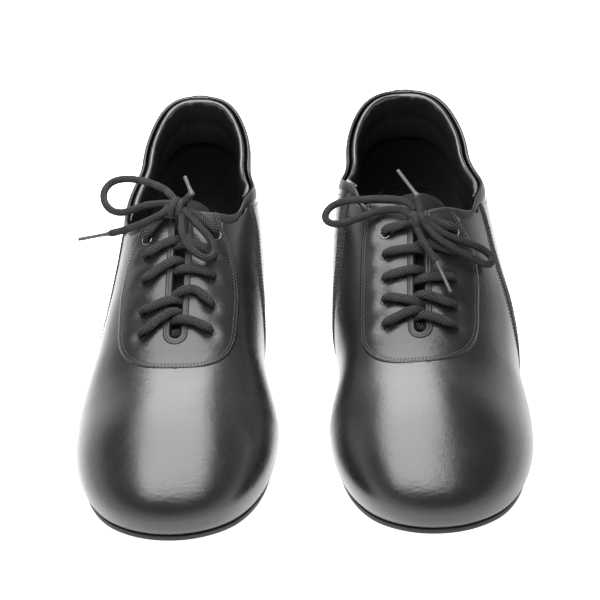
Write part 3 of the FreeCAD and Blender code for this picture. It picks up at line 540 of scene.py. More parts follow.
def finish_piece(shoe, piece, body, nodes=(), bend=False):
    """Puts a piece on its body, or for a bending piece bakes its place into its points and leaves it off any
    body, and hides the CAD nodes it stands for.
    """
    if bend:
        start, end = shoe.place_points([(0, BEND_START_Y, BEND_Z), (0, BEND_END_Y, BEND_Z)])
        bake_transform(piece)
    else:
        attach(piece, body)
    if nodes:
        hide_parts(*[shoe.node(n) for n in nodes])
    return piece


def panel(shoe, name, patches, material, nodes, bend=False):
    """A closed piece of leather or cloth that stands for some nodes of its shoe."""
    piece = weld(shell(shoe, name, patches, MATERIALS[material]))
    finish_piece(shoe, piece, shoe.body, nodes, bend)


def ripple(points, scale, stretch=(1, 1, 1), seed=0.0):
    """Smooth noise between -1 and 1 at each point."""
    flat = points.reshape(-1, 3) * np.array(stretch) / scale + seed
    return np.array([noise.noise(Vector(p)) for p in flat]).reshape(points.shape[:-1])


def spans(low, high, count):
    return np.linspace(low, high, count)


def seam_line(shoe, inset, count):
    """Plan points along the eyestay's seam, inset towards the slit, from the inner top to the outer top."""
    s = spans(-1, 1, count)
    side = np.where(s < 0, -1, 1)
    round_share = 0.45
    turn = math.pi / 2 * np.clip(np.abs(s) / round_share, 0, 1)
    cos, sin = np.cos(turn), np.sin(turn)
    size = (cos ** SEAM_POWER + sin ** SEAM_POWER) ** (1 / SEAM_POWER)
    top_y = np.where(s < 0, shoe.seam_end(-1)[1], shoe.seam_end(1)[1])
    straight = np.abs(s) >= round_share
    up = (np.abs(s) - round_share) / (1 - round_share)
    y = np.where(straight, SEAM_ROUND_Y + (top_y - SEAM_ROUND_Y) * up,
                 SEAM_ROUND_Y - (SEAM_ROUND_Y - SEAM_BOTTOM_Y) * cos / size)
    x = np.where(straight, np.where(side < 0, shoe.seam_x(-1, y), shoe.seam_x(1, y)),
                 shoe.slit_x(y) + side * SEAM_WIDE * sin / size)
    line = np.stack([x, y], axis=1)
    if inset:
        way = unit(np.gradient(line, axis=0))
        line = line + np.stack([-way[:, 1], way[:, 0]], axis=1) * inset
    return line


def slit_line(shoe, away, count):
    """Plan points round the slit, away from its middle, in the same order."""
    s = spans(-1, 1, count)
    side = np.where(s < 0, -1, 1)
    turn_share = 0.25
    turn = math.pi / 2 * np.clip(s / turn_share, -1, 1)
    low = SLIT_BOTTOM_Y + SLIT_HALF
    share = np.clip((np.abs(s) - turn_share) / (1 - turn_share), 0, 1)
    straight = np.abs(s) >= turn_share
    end = np.where(s < 0, SLIT_END_Y[-1], SLIT_END_Y[1])
    y = np.where(straight, low + share * (end - low), low - away * np.cos(turn))
    x = shoe.slit_x(y) + np.where(straight, side * away, away * np.sin(turn))
    return np.stack([x, y], axis=1)


# ---- relief of the leather, in millimetres, at plan places on the shoe ---------------------------------
def flex_creases(points):
    """Fine crinkles across the vamp where it bends, and a very soft unevenness elsewhere."""
    y = points[..., 1]
    fine = ripple(points, 3.2, (0.28, 1, 0.5), 3.1)
    broad = ripple(points, 8.0, (0.35, 1, 0.5), 7.7)
    soft = ripple(points, 26.0, (1, 1, 1), 1.3)
    middle = hump(points[..., 0], 26)
    return hump(y - 92, 19) * middle * (0.1 * fine + 0.14 * broad) + 0.1 * soft


def quarter_relief(points):
    """Soft dents along the side of the heel."""
    return 0.25 * ripple(points, 22.0, (1, 0.6, 1), 5.2) + 0.07 * ripple(points, 7.0, (1, 1, 0.5), 2.2)


def facing_relief(shoe, points):
    """The facing is dished at each eyelet and softly puffed between the laces' pulls."""
    x, y = points[..., 0], points[..., 1]
    across = x - shoe.slit_x(y)
    relief = 0.12 * ripple(points, 12.0, (1, 1, 1), 4.4) + 0.08 * ripple(points, 5.5, (0.5, 1.3, 1), 9.4)
    relief *= ease((y - 96) / 14)
    for side in (-1, 1):
        rows = EYELET_YS[shoe.name][side]
        for eyelet_y in rows:
            gap = np.hypot(side * across - EYELET_X, y - eyelet_y)
            relief += -0.7 * hump(gap, 4.2) + 0.16 * hump(gap - 7.5, 3.2)
        for one, other in zip(rows, rows[1:]):
            relief += 0.25 * hump(y - (one + other) / 2, 3.4) * hump(side * across - 13, 8)
    return relief


def raised(shoe, side, a, w, out, relief):
    """The surface at stations a and heights w, out above it by a number plus the relief there."""
    base = shoe.point(side, a, w)
    return base + shoe.normal(side, a, w) * (out + relief(base))[..., None]


def weld(piece, merge=0.00003):
    """Welds points that lie within merge, such as patches' shared edges, and turns every face outwards."""
    work = bmesh.new()
    work.from_mesh(piece.data)
    if merge:
        bmesh.ops.remove_doubles(work, verts=work.verts, dist=merge)
    bmesh.ops.recalc_face_normals(work, faces=work.faces)
    work.to_mesh(piece.data)
    work.free()
    piece.data.polygons.foreach_set("use_smooth", [True] * len(piece.data.polygons))
    return piece


# ---- forefoot and sides ------------------------------------------------------------------------------
def toe_patch(columns, rows):
    """Side, station and height over the toe half: columns across, rows from the flex line to the toe."""
    u, v = np.meshgrid(spans(-1, 1, columns), spans(0, 1, rows), indexing="ij")
    across, ahead = u * np.sqrt(1 - v * v / 2), v * np.sqrt(1 - u * u / 2)
    out = np.minimum(np.hypot(across, ahead), 1.0)
    turn = np.where(out > 1e-9, np.arctan2(ahead, np.maximum(np.abs(across), 1e-12)), 0.0)
    side = np.where(across < 0, -1.0, 1.0)
    return side, BALL_Y - TOE_RUN * turn / (math.pi / 2), 1 - (1 - FEATHER_W) * out


def gore_spot(shoe, side, t, share, gap=0.0):
    """Station and height at t up the elastic strip; share runs from -0.5 on its front edge to 0.5."""
    across = share * GORE * (GORE_NARROW + (1 - GORE_NARROW) * ease((1 - t) / 0.18)) + gap
    lean = 0.8 * np.sin(math.pi * t)
    top = shoe.corner_w(side) - 0.02
    a = CORNER_Y[side] - smooth(GORE_AHEAD[side], t) + across * np.cos(lean)
    w = FEATHER_W + smooth(GORE_RISE[side], t) * (top - FEATHER_W) - across * np.sin(lean) / GORE_SCALE
    return a, w


def coons(p, q, bottom, top, front, back):
    """Fills in between four edges that share their corners; each gives (station, height)."""
    values = []
    ends = {name: (edge(np.zeros(1)), edge(np.ones(1))) for name, edge in (("bottom", bottom), ("top", top))}
    for i in (0, 1):
        low_front, low_back = ends["bottom"][0][i][0], ends["bottom"][1][i][0]
        high_front, high_back = ends["top"][0][i][0], ends["top"][1][i][0]
        corners = ((1 - p) * ((1 - q) * low_front + q * high_front)
                   + p * ((1 - q) * low_back + q * high_back))
        values.append((1 - q) * bottom(p)[i] + q * top(p)[i] + (1 - p) * front(q)[i] + p * back(q)[i]
                      - corners)
    return values


def wing_patch(shoe, side, rows, columns):
    p, q = np.meshgrid(spans(0, 1, rows), spans(0, 1, columns), indexing="ij")

    def back(q):
        return gore_spot(shoe, side, q, -0.5, -STRIP_GAP)
    low_end, high_end = back(0), back(1)

    def bottom(p):
        return BALL_Y + p * (low_end[0] - BALL_Y), np.full_like(p, FEATHER_W)

    def top(p):
        joined = 8 / 90    # share of the edge where both sides meet on the ridge
        a = BALL_Y + 6 * np.minimum(p / joined, 1)
        a = a + (high_end[0] - BALL_Y - 6) * np.maximum((p - joined) / (1 - joined), 0)
        return a, shoe.inner_w(side, a) + (high_end[1] - shoe.inner_w(side, high_end[0])) * p ** 6

    def front(q):
        return np.full_like(q, BALL_Y), FEATHER_W + q * (1 - FEATHER_W)
    return coons(p, q, bottom, top, front, back)


def make_vamp(shoe):
    side, a, w = toe_patch(2 * 60 + 1, 71)
    outer = raised(shoe, side, a, w, 0.0, flex_creases)
    inner = shoe.skin(side, a, w, SKIN)
    patches = [(outer, inner)]
    for one in (-1, 1):
        a, w = wing_patch(shoe, one, 91, 61)
        sides = np.full_like(a, one)
        patches.append((raised(shoe, sides, a, w, 0.0, flex_creases), shoe.skin(sides, a, w, SKIN)))
    panel(shoe, "vamp", patches, "leather", ("vamp_toe", "vamp_wings"), bend=True)


def make_quarters(shoe):
    for side, name in ((-1, "quarter_inner"), (1, "quarter_outer")):
        p, q = np.meshgrid(spans(0, 1, 101), spans(0, 1, 61), indexing="ij")

        def front(q):
            return gore_spot(shoe, side, q, 0.5, STRIP_GAP)
        low_front, high_front = front(0), front(1)
        end = BACK_A - 7.2
        end_w = float(shoe.rim_w(side, end))

        def bottom(p):
            return low_front[0] + p * (end - low_front[0]), np.full_like(p, FEATHER_W)

        def top(p):
            a = high_front[0] + p * (end - high_front[0])
            return a, shoe.rim_w(side, a) + (high_front[1] - shoe.rim_w(side, high_front[0])) * (1 - p) ** 6

        def back(q):
            return np.full_like(q, end), FEATHER_W + q * (end_w - FEATHER_W)
        a, w = coons(p, q, bottom, top, front, back)
        sides = np.full_like(a, side)
        outer = raised(shoe, sides, a, w, 0.0, quarter_relief)
        panel(shoe, name + "_leather", [(outer, shoe.skin(sides, a, w, SKIN))], "leather", (name,))


RIB_PITCH = 1.8


def make_gores(shoe):
    """Elastic strips with ribs across them."""
    patches = []
    for side in (-1, 1):
        p, q = np.meshgrid(spans(-0.5, 0.5, 13), spans(0, 1, 421), indexing="ij")
        a, w = gore_spot(shoe, side, q, p)
        sides = np.full_like(a, side)
        base = shoe.point(sides, a, w)
        middle = base[6]
        ribs = 0.5 * np.abs(np.cos(math.pi * walked(middle) / RIB_PITCH))[None, :]
        ribs = ribs * ease((0.5 - np.abs(p)) / 0.08)
        outer = base + shoe.normal(sides, a, w) * (ribs + 0.1)[..., None]
        patches.append((outer, shoe.skin(sides, a, w, SKIN)))
    panel(shoe, "gore_elastic", patches, "elastic", ("side_gores",))


def make_back_strip(shoe):
    p, q = np.meshgrid(spans(-1, 1, 25), spans(0, 1, 61), indexing="ij")
    sides = np.where(p < 0, -1.0, 1.0)
    a = BACK_A - 7.0 * np.abs(p)
    rim = np.where(p < 0, shoe.rim_w(-1, a), shoe.rim_w(1, a))
    w = FEATHER_W + q * (rim - FEATHER_W)
    proud = 0.75 * (1 - np.abs(p) ** 6) - 0.15 * hump(np.abs(p) - 0.72, 0.08)
    outer = shoe.point(sides, a, w) + shoe.normal(sides, a, w) * proud[..., None]
    patch = (outer, shoe.skin(sides, a, w, SKIN))
    panel(shoe, "back_strip_leather", [patch], "leather", ("back_strip",))


# ---- the eyestay and what is sewn to it -----------------------------------------------------------------
SEWN = (1.0, 2.3)         # how far its two rows of stitches lie inside its edge


def make_eyestay(shoe):
    count = 241
    inner, outer = slit_line(shoe, SLIT_HALF + BINDING - 0.6, count), seam_line(shoe, 0.0, count)
    q = spans(0, 1, 33)[None, :, None]
    plan = inner[:, None] * (1 - q) + outer[:, None] * q
    x, y = plan[..., 0], plan[..., 1]
    from_edge = np.linalg.norm(outer[:, None] - plan, axis=-1)
    edge = np.sqrt(ease(from_edge / 0.9)) * 0.4
    sewn = -0.14 * (hump(from_edge - SEWN[0], 0.4) + hump(from_edge - SEWN[1], 0.4))
    base, way = shoe.lift_and_way(x, y)
    top = base + way * (0.22 + edge + sewn + facing_relief(shoe, base))[..., None]
    low = np.minimum(0.02, facing_relief(shoe, base) - 0.4)
    under = base + way * low[..., None]
    panel(shoe, "eyestay_leather", [(top, under)], "facing", ("eyestay",), bend=True)


def capsules(name, spots, ways, ups, size, material):
    """Many small rounded stitches as one mesh: places, directions and normals in metres."""
    around, along = 6, 5
    turns = turns_round(around)
    template = []
    for t in spans(-1, 1, along):
        ring = math.sqrt(max(1 - t * t * 0.96, 0.0)) / 2
        template += [(t * size[0] / 2, math.cos(turn) * ring * size[1], math.sin(turn) * ring * size[2])
                     for turn in turns]
    faces = [tuple(reversed(f)) for f in grid_faces(along, around, wrap=True)]
    faces += [tuple(range(around)), tuple(reversed(range((along - 1) * around, along * around)))]
    template = np.array(template)
    across = np.cross(ups, ways)
    points = (spots[:, None] + ways[:, None] * template[None, :, :1]
              + across[:, None] * template[None, :, 1:2] + ups[:, None] * template[None, :, 2:])
    size_one = len(template)
    every = [tuple(i + k * size_one for i in face) for k in range(len(spots)) for face in faces]
    return add_object(name, points.reshape(-1, 3), every, material)


def spaced_along(points, pitch):
    """Where stitches of that pitch fall on a dense line: places and directions."""
    walk = walked(points)
    at = np.arange(pitch / 2, walk[-1] - pitch / 3, pitch)
    ahead, behind = read_at(at + 0.2 * pitch, walk, points), read_at(at - 0.2 * pitch, walk, points)
    return read_at(at, walk, points), unit(ahead - behind)


def stitching(shoe, name, rows, bend=False, pitch=2.0, size=(1.45, 0.5, 0.42)):
    """rows holds (line on the surface, line one millimetre above it) pairs in the shoe's own frame."""
    spots, ways, ups = [], [], []
    for line, above in rows:
        base, high = shoe.place_points(line), shoe.place_points(above)
        places, directions = spaced_along(base, pitch / 1000)
        count = min(len(places), len(spaced_along(high, pitch / 1000)[0]))
        normal = unit(high - base)
        at = (np.arange(count) + 0.5) * pitch / 1000
        up = unit(read_at(at, walked(base), normal))
        way = directions[:count]
        up = unit(up - way * np.sum(up * way, axis=1, keepdims=True))
        spots.append(places[:count])
        ways.append(way)
        ups.append(up)
    piece = capsules(shoe.node(name), np.concatenate(spots), np.concatenate(ways), np.concatenate(ups),
                     [s / 1000 for s in size], MATERIALS["thread"])
    finish_piece(shoe, piece, shoe.body, (), bend=bend)


def make_eyestay_stitching(shoe):
    rows = []
    for inset in SEWN:
        plan = seam_line(shoe, inset, 400)
        base, way = shoe.lift_and_way(plan[:, 0], plan[:, 1])
        height = 0.58 + facing_relief(shoe, base)
        line = base + way * height[:, None]
        rows.append((line, line + way))
    stitching(shoe, "eyestay_stitching", rows, bend=True, pitch=1.9, size=(1.35, 0.6, 0.55))


def make_binding(shoe):
    """Flat folded strip round the slit, sewn down along its outer edge."""
    count, across = 241, 21
    inner, outer = slit_line(shoe, SLIT_HALF, count), slit_line(shoe, SLIT_HALF + BINDING, count)
    q = spans(0, 1, across)
    plan = inner[:, None] * (1 - q[None, :, None]) + outer[:, None] * q[None, :, None]
    base, way = shoe.lift_and_way(plan[..., 0], plan[..., 1])
    profile = -0.9 + 1.95 * np.sqrt(ease(q / 0.3)) - 0.35 * ease((q - 0.86) / 0.14)
    profile = profile - 0.16 * hump(q - 0.66, 0.07)
    wave = 0.12 * ripple(base, 7.0, (1, 1, 1), 11.0) + 0.6 * np.minimum(facing_relief(shoe, base), 0.3)
    top = base + way * (profile[None, :] + wave)[..., None]
    under = base + way * np.minimum(-0.9, profile[None, :] - 0.5)[..., None]
    panel(shoe, "slit_binding", [(top, under)], "binding", ("throat_binding",))
    plan = slit_line(shoe, SLIT_HALF + 0.66 * BINDING, 400)
    base, way = shoe.lift_and_way(plan[:, 0], plan[:, 1])
    line = base + way * (0.92 + 0.6 * np.minimum(facing_relief(shoe, base), 0.3))[:, None]
    stitching(shoe, "slit_stitching", [(line, line + way)], pitch=1.9, size=(1.3, 0.42, 0.36))


def make_eyelets(shoe):
    """Rolled metal rings set into the dished facing: a wide pair at the top, small sunk ones below."""
    around = 28
    wide = ((2.5, -1.3), (2.45, 0.1), (2.6, 0.5), (2.85, 0.66), (3.15, 0.62), (3.38, 0.4), (3.42, 0.15),
            (3.3, 0.0), (2.75, -0.1), (2.7, -1.3))
    small = ((2.1, -1.3), (2.06, -0.1), (2.2, 0.15), (2.4, 0.22), (2.6, 0.16), (2.7, 0.0), (2.65, -0.15),
             (2.4, -0.2), (2.3, -0.4), (2.3, -1.3))
    turns = turns_round(around)
    vertices, faces, counts = [], [], []
    for side in (-1, 1):
        for row, y in enumerate(EYELET_YS[shoe.name][side]):
            profile = wide if row == ROWS - 1 else small
            here = np.array([[float(shoe.slit_x(y)) + side * EYELET_X]]), np.array([[y]])
            base = shoe.lift(*here)[0, 0]
            way = unit(shoe.lift(*here, 1.0)[0, 0] - base)
            first = unit(np.cross(way, (0, 1, 0)))
            second = np.cross(way, first)
            seat = base + way * (0.75 + float(facing_relief(shoe, base[None])[0]))
            start = len(vertices)
            vertices.extend(seat + (first * math.cos(t) + second * math.sin(t)) * r + way * z
                            for r, z in profile + profile[:1] for t in turns)
            ring = grid_faces(len(profile) + 1, around, start, wrap=True)
            faces += ring
            counts += [row == ROWS - 1] * len(ring)
    piece = add_object(shoe.node("eyelet_rings"), shoe.place_points(vertices), faces,
                       [MATERIALS["black_metal"], MATERIALS["metal"]])
    piece.data.polygons.foreach_set("material_index", [int(top) for top in counts])
    weld(piece)
    finish_piece(shoe, piece, shoe.body, ("eyelets",))


def make_tongue(shoe):
    p, q = np.meshgrid(spans(0, 1, 91), spans(0, 1, 41), indexing="ij")
    y = 97 + 85 * p
    reach = 22 + 5 * np.sin(math.pi * p) - 5 * ease((p - 0.8) / 0.2)
    bow = 4 * (2 * q - 1) ** 2 * ease((p - 0.6) / 0.4)
    x = shoe.slit_x(y) + (2 * q - 1) * reach
    edge = np.minimum(np.minimum(q, 1 - q) * 2 * reach, (1 - p) * 85)
    round_edge = np.sqrt(ease(edge / 1.6)) * 0.9
    base, way = shoe.lift_and_way(x, y - bow)
    wave = 0.25 * ripple(base, 9.0, (1, 1, 1), 6.6)
    rolled = -1.5 * ease((p - 0.93) / 0.07)
    top = base + way * (-6.6 + round_edge + wave + rolled)[..., None]
    under = base + way * (-6.9 - round_edge + wave + rolled)[..., None]
    piece = weld(shell(shoe, "tongue_leather", [(top, under)], MATERIALS["tongue"]))
    finish_piece(shoe, piece, shoe.name + "_tongue_body", ("tongue",))


# ---- the top edge ---------------------------------------------------------------------------------
def soften(points, width):
    """Rounds a dense line's corner with a moving average, keeping its ends."""
    kernel = np.hanning(2 * width + 1)
    kernel /= kernel.sum()
    padded = np.concatenate([np.repeat(points[:1], width, 0), points, np.repeat(points[-1:], width, 0)])
    return np.stack([np.convolve(padded[:, i], kernel, "valid") for i in range(points.shape[1])], axis=1)


TOPLINE = 4.6             # width of the rolled strip


def rim_line(shoe, side, below, facing_count=70, collar_count=150):
    """A line below the top edge, from the slit along the facing and round the collar to the heel's middle."""
    x = spans(2.6, CORNER_X, facing_count)
    y = shoe.facing_top_y(side, x) - below * (0.55 + 0.45 * ease((x - 2.6) / 22))
    facing = shoe.lift(shoe.slit_x(y) + side * x, y)
    a = spans(CORNER_Y[side], BACK_A, collar_count)[1:]
    w = shoe.rim_w(side, a) - below / GORE_SCALE
    collar = shoe.point(np.full_like(a, side), a, w)
    return np.concatenate([facing, collar])


def make_topline(shoe):
    """A rolled strip along the facing's top and on round the collar."""
    patches = []
    for side in (-1, 1):
        top = soften(rim_line(shoe, side, 0.0), 5)
        low = soften(rim_line(shoe, side, TOPLINE), 5)
        q = spans(0, 1, 15)[None, :, None]
        middle = top[:, None] * q + low[:, None] * (1 - q)
        along = np.gradient((top + low) / 2, axis=0)
        out = unit(np.cross(along, top - low)) * side
        share = spans(0, 1, len(top))
        proud = 0.5 - 0.05 * ease((share - 0.32) / 0.1)
        ring = (1 - np.abs(2 * q[0, :, 0] - 1) ** 2.4)
        height = proud[:, None] * ring[None, :] + 0.3
        outer = middle + out[:, None] * height[..., None]
        inner = middle - out[:, None] * 0.5
        patches.append((outer, inner))
    panel(shoe, "topline_strip", patches, "binding", ("topline_band",))


def make_collar(shoe):
    """Padded roll inside the top edge, gathered into folds behind the heel."""
    around = 40
    p = spans(-1, 1, 241)
    turns = turns_round(around)
    p, turn = np.meshgrid(p, turns, indexing="ij")
    sides = np.where(p < 0, -1.0, 1.0)
    start = np.where(p < 0, CORNER_Y[-1], CORNER_Y[1]) + 2.0
    a = BACK_A - (BACK_A - start) * np.abs(p)
    rim = np.where(p < 0, shoe.rim_w(-1, a), shoe.rim_w(1, a))
    ends = 0.35 + 0.65 * ease((1 - np.abs(p)) / 0.14)
    cos, sin = np.cos(turn), np.sin(turn)
    size = (np.abs(cos) ** 2.5 + np.abs(sin) ** 2.5) ** (1 / 2.5)
    cos, sin = cos / size, sin / size
    fold = 0.55 * ripple(stack(p * 110, sin * 4, 0 * p), 5.0, (1, 0.25, 1), 8.8) * (0.35 + hump(p, 0.35))
    fold += 0.25 * ripple(stack(p * 110, sin * 6, cos * 3), 3.0, (1, 0.5, 1), 2.8)
    seam = -0.9 * hump(sin - 0.05, 0.1) * (cos > 0)
    deep = 1.35 + 2.95 * ends + (2.95 * ends + (fold + seam) * ends * (cos > -0.4)) * cos
    w = rim - 0.115 + 0.125 * sin
    surface = shoe.skin(sides, a, w, deep)
    faces = tube_faces(len(surface), around)
    piece = weld(add_object(shoe.node("collar_roll"), shoe.place_points(surface), faces,
                            MATERIALS["lining_leather"]))
    finish_piece(shoe, piece, shoe.body, ("collar_pad",))


def make_side_stitching(shoe):
    """Rows along the elastic's edges, the collar's edge and the back strip."""
    rows = []
    for side in (-1, 1):
        for across in (-1, 1):
            t = spans(0.03, 0.8, 160)
            a, w = gore_spot(shoe, side, t, across * 0.5, across * 1.8)
            sides = np.full_like(a, side)
            relief = flex_creases if across < 0 else quarter_relief
            line = raised(shoe, sides, a, w, 0.05, relief)
            rows.append((line, line + shoe.normal(sides, a, w)))
        a = spans(CORNER_Y[side] + 5, BACK_A - 9, 220)
        w = shoe.rim_w(side, a) - 7.0 / GORE_SCALE
        sides = np.full_like(a, side)
        line = raised(shoe, sides, a, w, 0.05, quarter_relief)
        rows.append((line, line + shoe.normal(sides, a, w)))
        a = np.full(160, BACK_A - 5.0)
        w = spans(FEATHER_W + 0.05, float(shoe.rim_w(side, BACK_A - 5.0)) - 0.09, 160)
        sides = np.full_like(a, side)
        line = shoe.skin(sides, a, w, -0.55)
        rows.append((line, line + shoe.normal(sides, a, w)))
    stitching(shoe, "side_stitching", rows)


# ---- inside and below ----------------------------------------------------------------------------------
def make_lining(shoe):
    side, a, w = toe_patch(2 * 30 + 1, 41)
    patches = [(shoe.skin(side, a, w, LINING_DEPTH), shoe.skin(side, a, w, LINING_DEPTH + 0.8))]
    for one in (-1, 1):
        p, q = np.meshgrid(spans(0, 1, 121), spans(0, 1, 31), indexing="ij")
        a = BALL_Y + p * (BACK_A - BALL_Y)
        low_rim = shoe.rim_w(one, np.maximum(a, CORNER_Y[one])) - 0.2
        facing = shoe.inner_w(one, np.minimum(a, 164.0))
        top_w = facing + (low_rim - facing) * ease((a - 150) / 45)
        w = FEATHER_W + q * (top_w - FEATHER_W)
        sides = np.full_like(a, one)
        patches.append((shoe.skin(sides, a, w, LINING_DEPTH), shoe.skin(sides, a, w, LINING_DEPTH + 0.8)))
    panel(shoe, "cloth_lining", patches, "lining", ("vamp_lining", "quarter_lining"), bend=True)


def sole_sheet(shoe, name, inset, profile, z_of_y, material):
    """A flat piece in the sole's outline: profile holds (extra inset, height) pairs round its edge, from the
    upper face's edge to the lower face's edge."""
    stations = spans(TOE_A, BACK_A, 141)
    rings = []
    for more, height in profile:
        sides = []
        for side in (-1, 1):
            way = np.full_like(stations, side)
            x, y = shoe.outline(way, stations, inset + more, worn=False)[:2]
            sides.append(np.stack([x, y, z_of_y(y) + height], axis=1))
        rings.append(np.concatenate([sides[0], sides[1][::-1][1:-1]]))
    count = len(rings[0])
    vertices = np.concatenate(rings)
    faces = grid_faces(len(rings), count, wrap=True)
    half = len(stations)
    for ring in (0, len(rings) - 1):
        start = ring * count
        cap = []
        for i in range(half - 1):
            a, b = start + i, start + i + 1
            c = start + (count - i - 1) % count if i + 1 < half - 1 else start + half - 1
            d = start + (count - i) % count
            corners = list(dict.fromkeys((a, b, c, d)))
            if len(corners) > 2:
                cap.append(tuple(corners))
        faces += cap
    piece = add_object(shoe.node(name), shoe.place_points(vertices), faces, material)
    return weld(piece)


def make_soles(shoe):
    def feather(y):
        return smooth(FEATHER_Z, y)
    edge = ((6.0, -0.1), (0.9, -0.1), (0.35, -0.22), (0.05, -0.6), (0.0, -1.5), (0.05, -2.6), (0.35, -3.2),
            (0.9, -3.5), (6.0, -3.5))
    piece = sole_sheet(shoe, "outsole", OUTSOLE_INSET, edge, feather, MATERIALS["sole_edge"])
    piece.data.materials.append(MATERIALS["suede"])
    for face in piece.data.polygons:
        face.material_index = 1 if face.normal.z < -0.8 else 0
    finish_piece(shoe, piece, shoe.body, ("outsole_front", "outsole_rear"), bend=True)
    edge = ((3.0, 3.6), (0.6, 3.55), (0.1, 3.3), (0.0, 2.6), (0.1, 1.9), (0.5, 1.65), (3.0, 1.6))
    piece = sole_sheet(shoe, "insole_board", INSOLE_INSET, edge, feather, MATERIALS["insole"])
    finish_piece(shoe, piece, shoe.body, ("insole_front", "insole_rear"), bend=True)


PUFF_REACH = 60.0        # stations from the toe tip to the stiffener's rear edge
PUFF_LOW = -0.12
PUFF_RISE = 0.68
PUFF_DEPTH = SKIN + 0.3
STIFF = 0.5


def make_toe_puff(shoe):
    """The stiffener over the toes."""
    p, q = np.meshgrid(spans(-1, 1, 81), spans(0, 1, 25), indexing="ij")
    sides, a, w = np.where(p < 0, -1.0, 1.0), TOE_A + PUFF_REACH * np.abs(p), PUFF_LOW + PUFF_RISE * q
    patch = (shoe.skin(sides, a, w, PUFF_DEPTH), shoe.skin(sides, a, w, PUFF_DEPTH + STIFF))
    panel(shoe, "puff_sheet", [patch], "board", ("toe_puff",), bend=True)


def dress_cad_nodes(shoe):
    """The CAD parts that stay take a procedural material."""
    looks = {"heel_counter": "board", "shank": "steel", "heel_block": "heel", "heel_tip": "heel_rubber"}
    for name, look in looks.items():
        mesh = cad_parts[shoe.node(name)].data
        mesh.materials.clear()
        mesh.materials.append(MATERIALS[look])


# ---- laces ---------------------------------------------------------------------------------------------
def nurbs_line(points, per_span=24):
    """Dense points of the smooth spline through a route's control points."""
    curve = bpy.data.curves.new("route", "CURVE")
    curve.dimensions = "3D"
    curve.resolution_u = per_span
    spline = curve.splines.new("NURBS")
    spline.points.add(len(points) - 1)
    for point, place in zip(spline.points, points):
        point.co = (*place, 1)
    spline.order_u = 3
    spline.use_endpoint_u = True
    holder = bpy.data.objects.new("route", curve)
    bpy.context.scene.collection.objects.link(holder)
    bpy.context.view_layer.update()
    mesh = bpy.data.meshes.new_from_object(holder)
    line = np.array([v.co for v in mesh.vertices], float)
    bpy.data.objects.remove(holder)
    bpy.data.curves.remove(curve)
    bpy.data.meshes.remove(mesh)
    return line


def even_line(line, step):
    walk = walked(line)
    at = spans(0, walk[-1], max(int(round(walk[-1] / step)) + 1, 4))
    return read_at(at, walk, line), at


def frames_along(line):
    """A pair of directions across a line that don't twist along it."""
    way = unit(np.gradient(line, axis=0))
    first = np.empty_like(way)
    guess = np.array((0.0, 0.0, 1.0)) if abs(way[0][2]) < 0.9 else np.array((1.0, 0.0, 0.0))
    first[0] = unit(guess - way[0] * np.dot(guess, way[0]))
    for i in range(1, len(way)):
        carried = first[i - 1] - way[i] * np.dot(first[i - 1], way[i])
        first[i] = unit(carried)
    return first, np.cross(way, first)


STRANDS = 8          # strands each way round the braid
BRAID_PITCH = 0.0105  # length of one whole turn of a strand, in metres


def braided_tube(routes, radius=LACE / 2000, press=None, up_way=(0, -0.45, 0.9), around=40,
                 step=0.00042):
    """Vertices, faces, uvs and centre lines of braided laces along the routes. press(share) gives how
    much wider and lower the lace lies at each share of its length."""
    vertices, faces, uvs, lines = [], [], [], []
    turns = turns_round(around)
    for route in routes:
        line, walk = even_line(nurbs_line(route), step)
        first, second = frames_along(line)
        lines.append(line)
        phase = math.tau * walk[:, None] / BRAID_PITCH * STRANDS
        one = np.sin(STRANDS * turns[None, :] + phase)
        other = np.sin(STRANDS * turns[None, :] - phase)
        weave = 0.00012 * np.maximum(one, other) - 0.00004
        wide, high = press(walk / walk[-1]) if press else (np.ones(len(line)), np.ones(len(line)))
        ends = np.maximum(ease(np.minimum(walk, walk[-1] - walk) / (radius * 0.8)) ** 0.5, 0.12)
        size = radius * ends[:, None] + weave * ends[:, None]
        if press:
            flat_way = unit(np.cross(unit(np.gradient(line, axis=0)), np.array(up_way)))
            first, second = flat_way, np.cross(unit(np.gradient(line, axis=0)), flat_way)
        rings = (line[:, None] + first[:, None] * (np.cos(turns) * size * wide[:, None])[..., None]
                 + second[:, None] * (np.sin(turns) * size * high[:, None])[..., None])
        start = len(vertices)
        vertices.extend(rings.reshape(-1, 3))
        faces += tube_faces(len(line), around, start)
        u = np.broadcast_to(turns[None, :] / math.tau, (len(line), around))
        v = np.broadcast_to(walk[:, None] * 1000, (len(line), around))
        uvs.append(np.stack([u, v], axis=-1).reshape(-1, 2))
    return np.array(vertices), faces, np.concatenate(uvs), lines


LACE_OVER = SKIN + LACE / 2 + 0.35
LACE_UNDER = -LACE / 2 - 1.2

# How far each rung climbs from its eyelet to the far side of the slit, from the toe up, how far up its
# middle bows, and how much higher it rides where it crosses the rung from the other side.
RUNG_CLIMB = {
    "left": {-1: (3.2, -6.0, 0.2, -1.2), 1: (5.1, 4.5, -1.5, 3.2)},
    "right": {-1: (3.4, 3.0, 0.2, 1.4), 1: (9.5, 3.7, 7.1, 4.8)},
}
RUNG_ARCH = {
    "left": {-1: (0, 0, 0, 0), 1: (0, 0, 0, 0)},
    "right": {-1: (1.0, 4.0, 0.6, 0.5), 1: (0, 0, 0, 0)},
}
RUNG_HOP = {
    "left": {-1: (0.6, 0.0, 0.6, 0.0), 1: (0.0, 0.8, 0.0, 0.6)},
    "right": {-1: (0.0, 0.8, 0.0, 0.6), 1: (0.6, 0.0, 0.6, 0.0)},
}


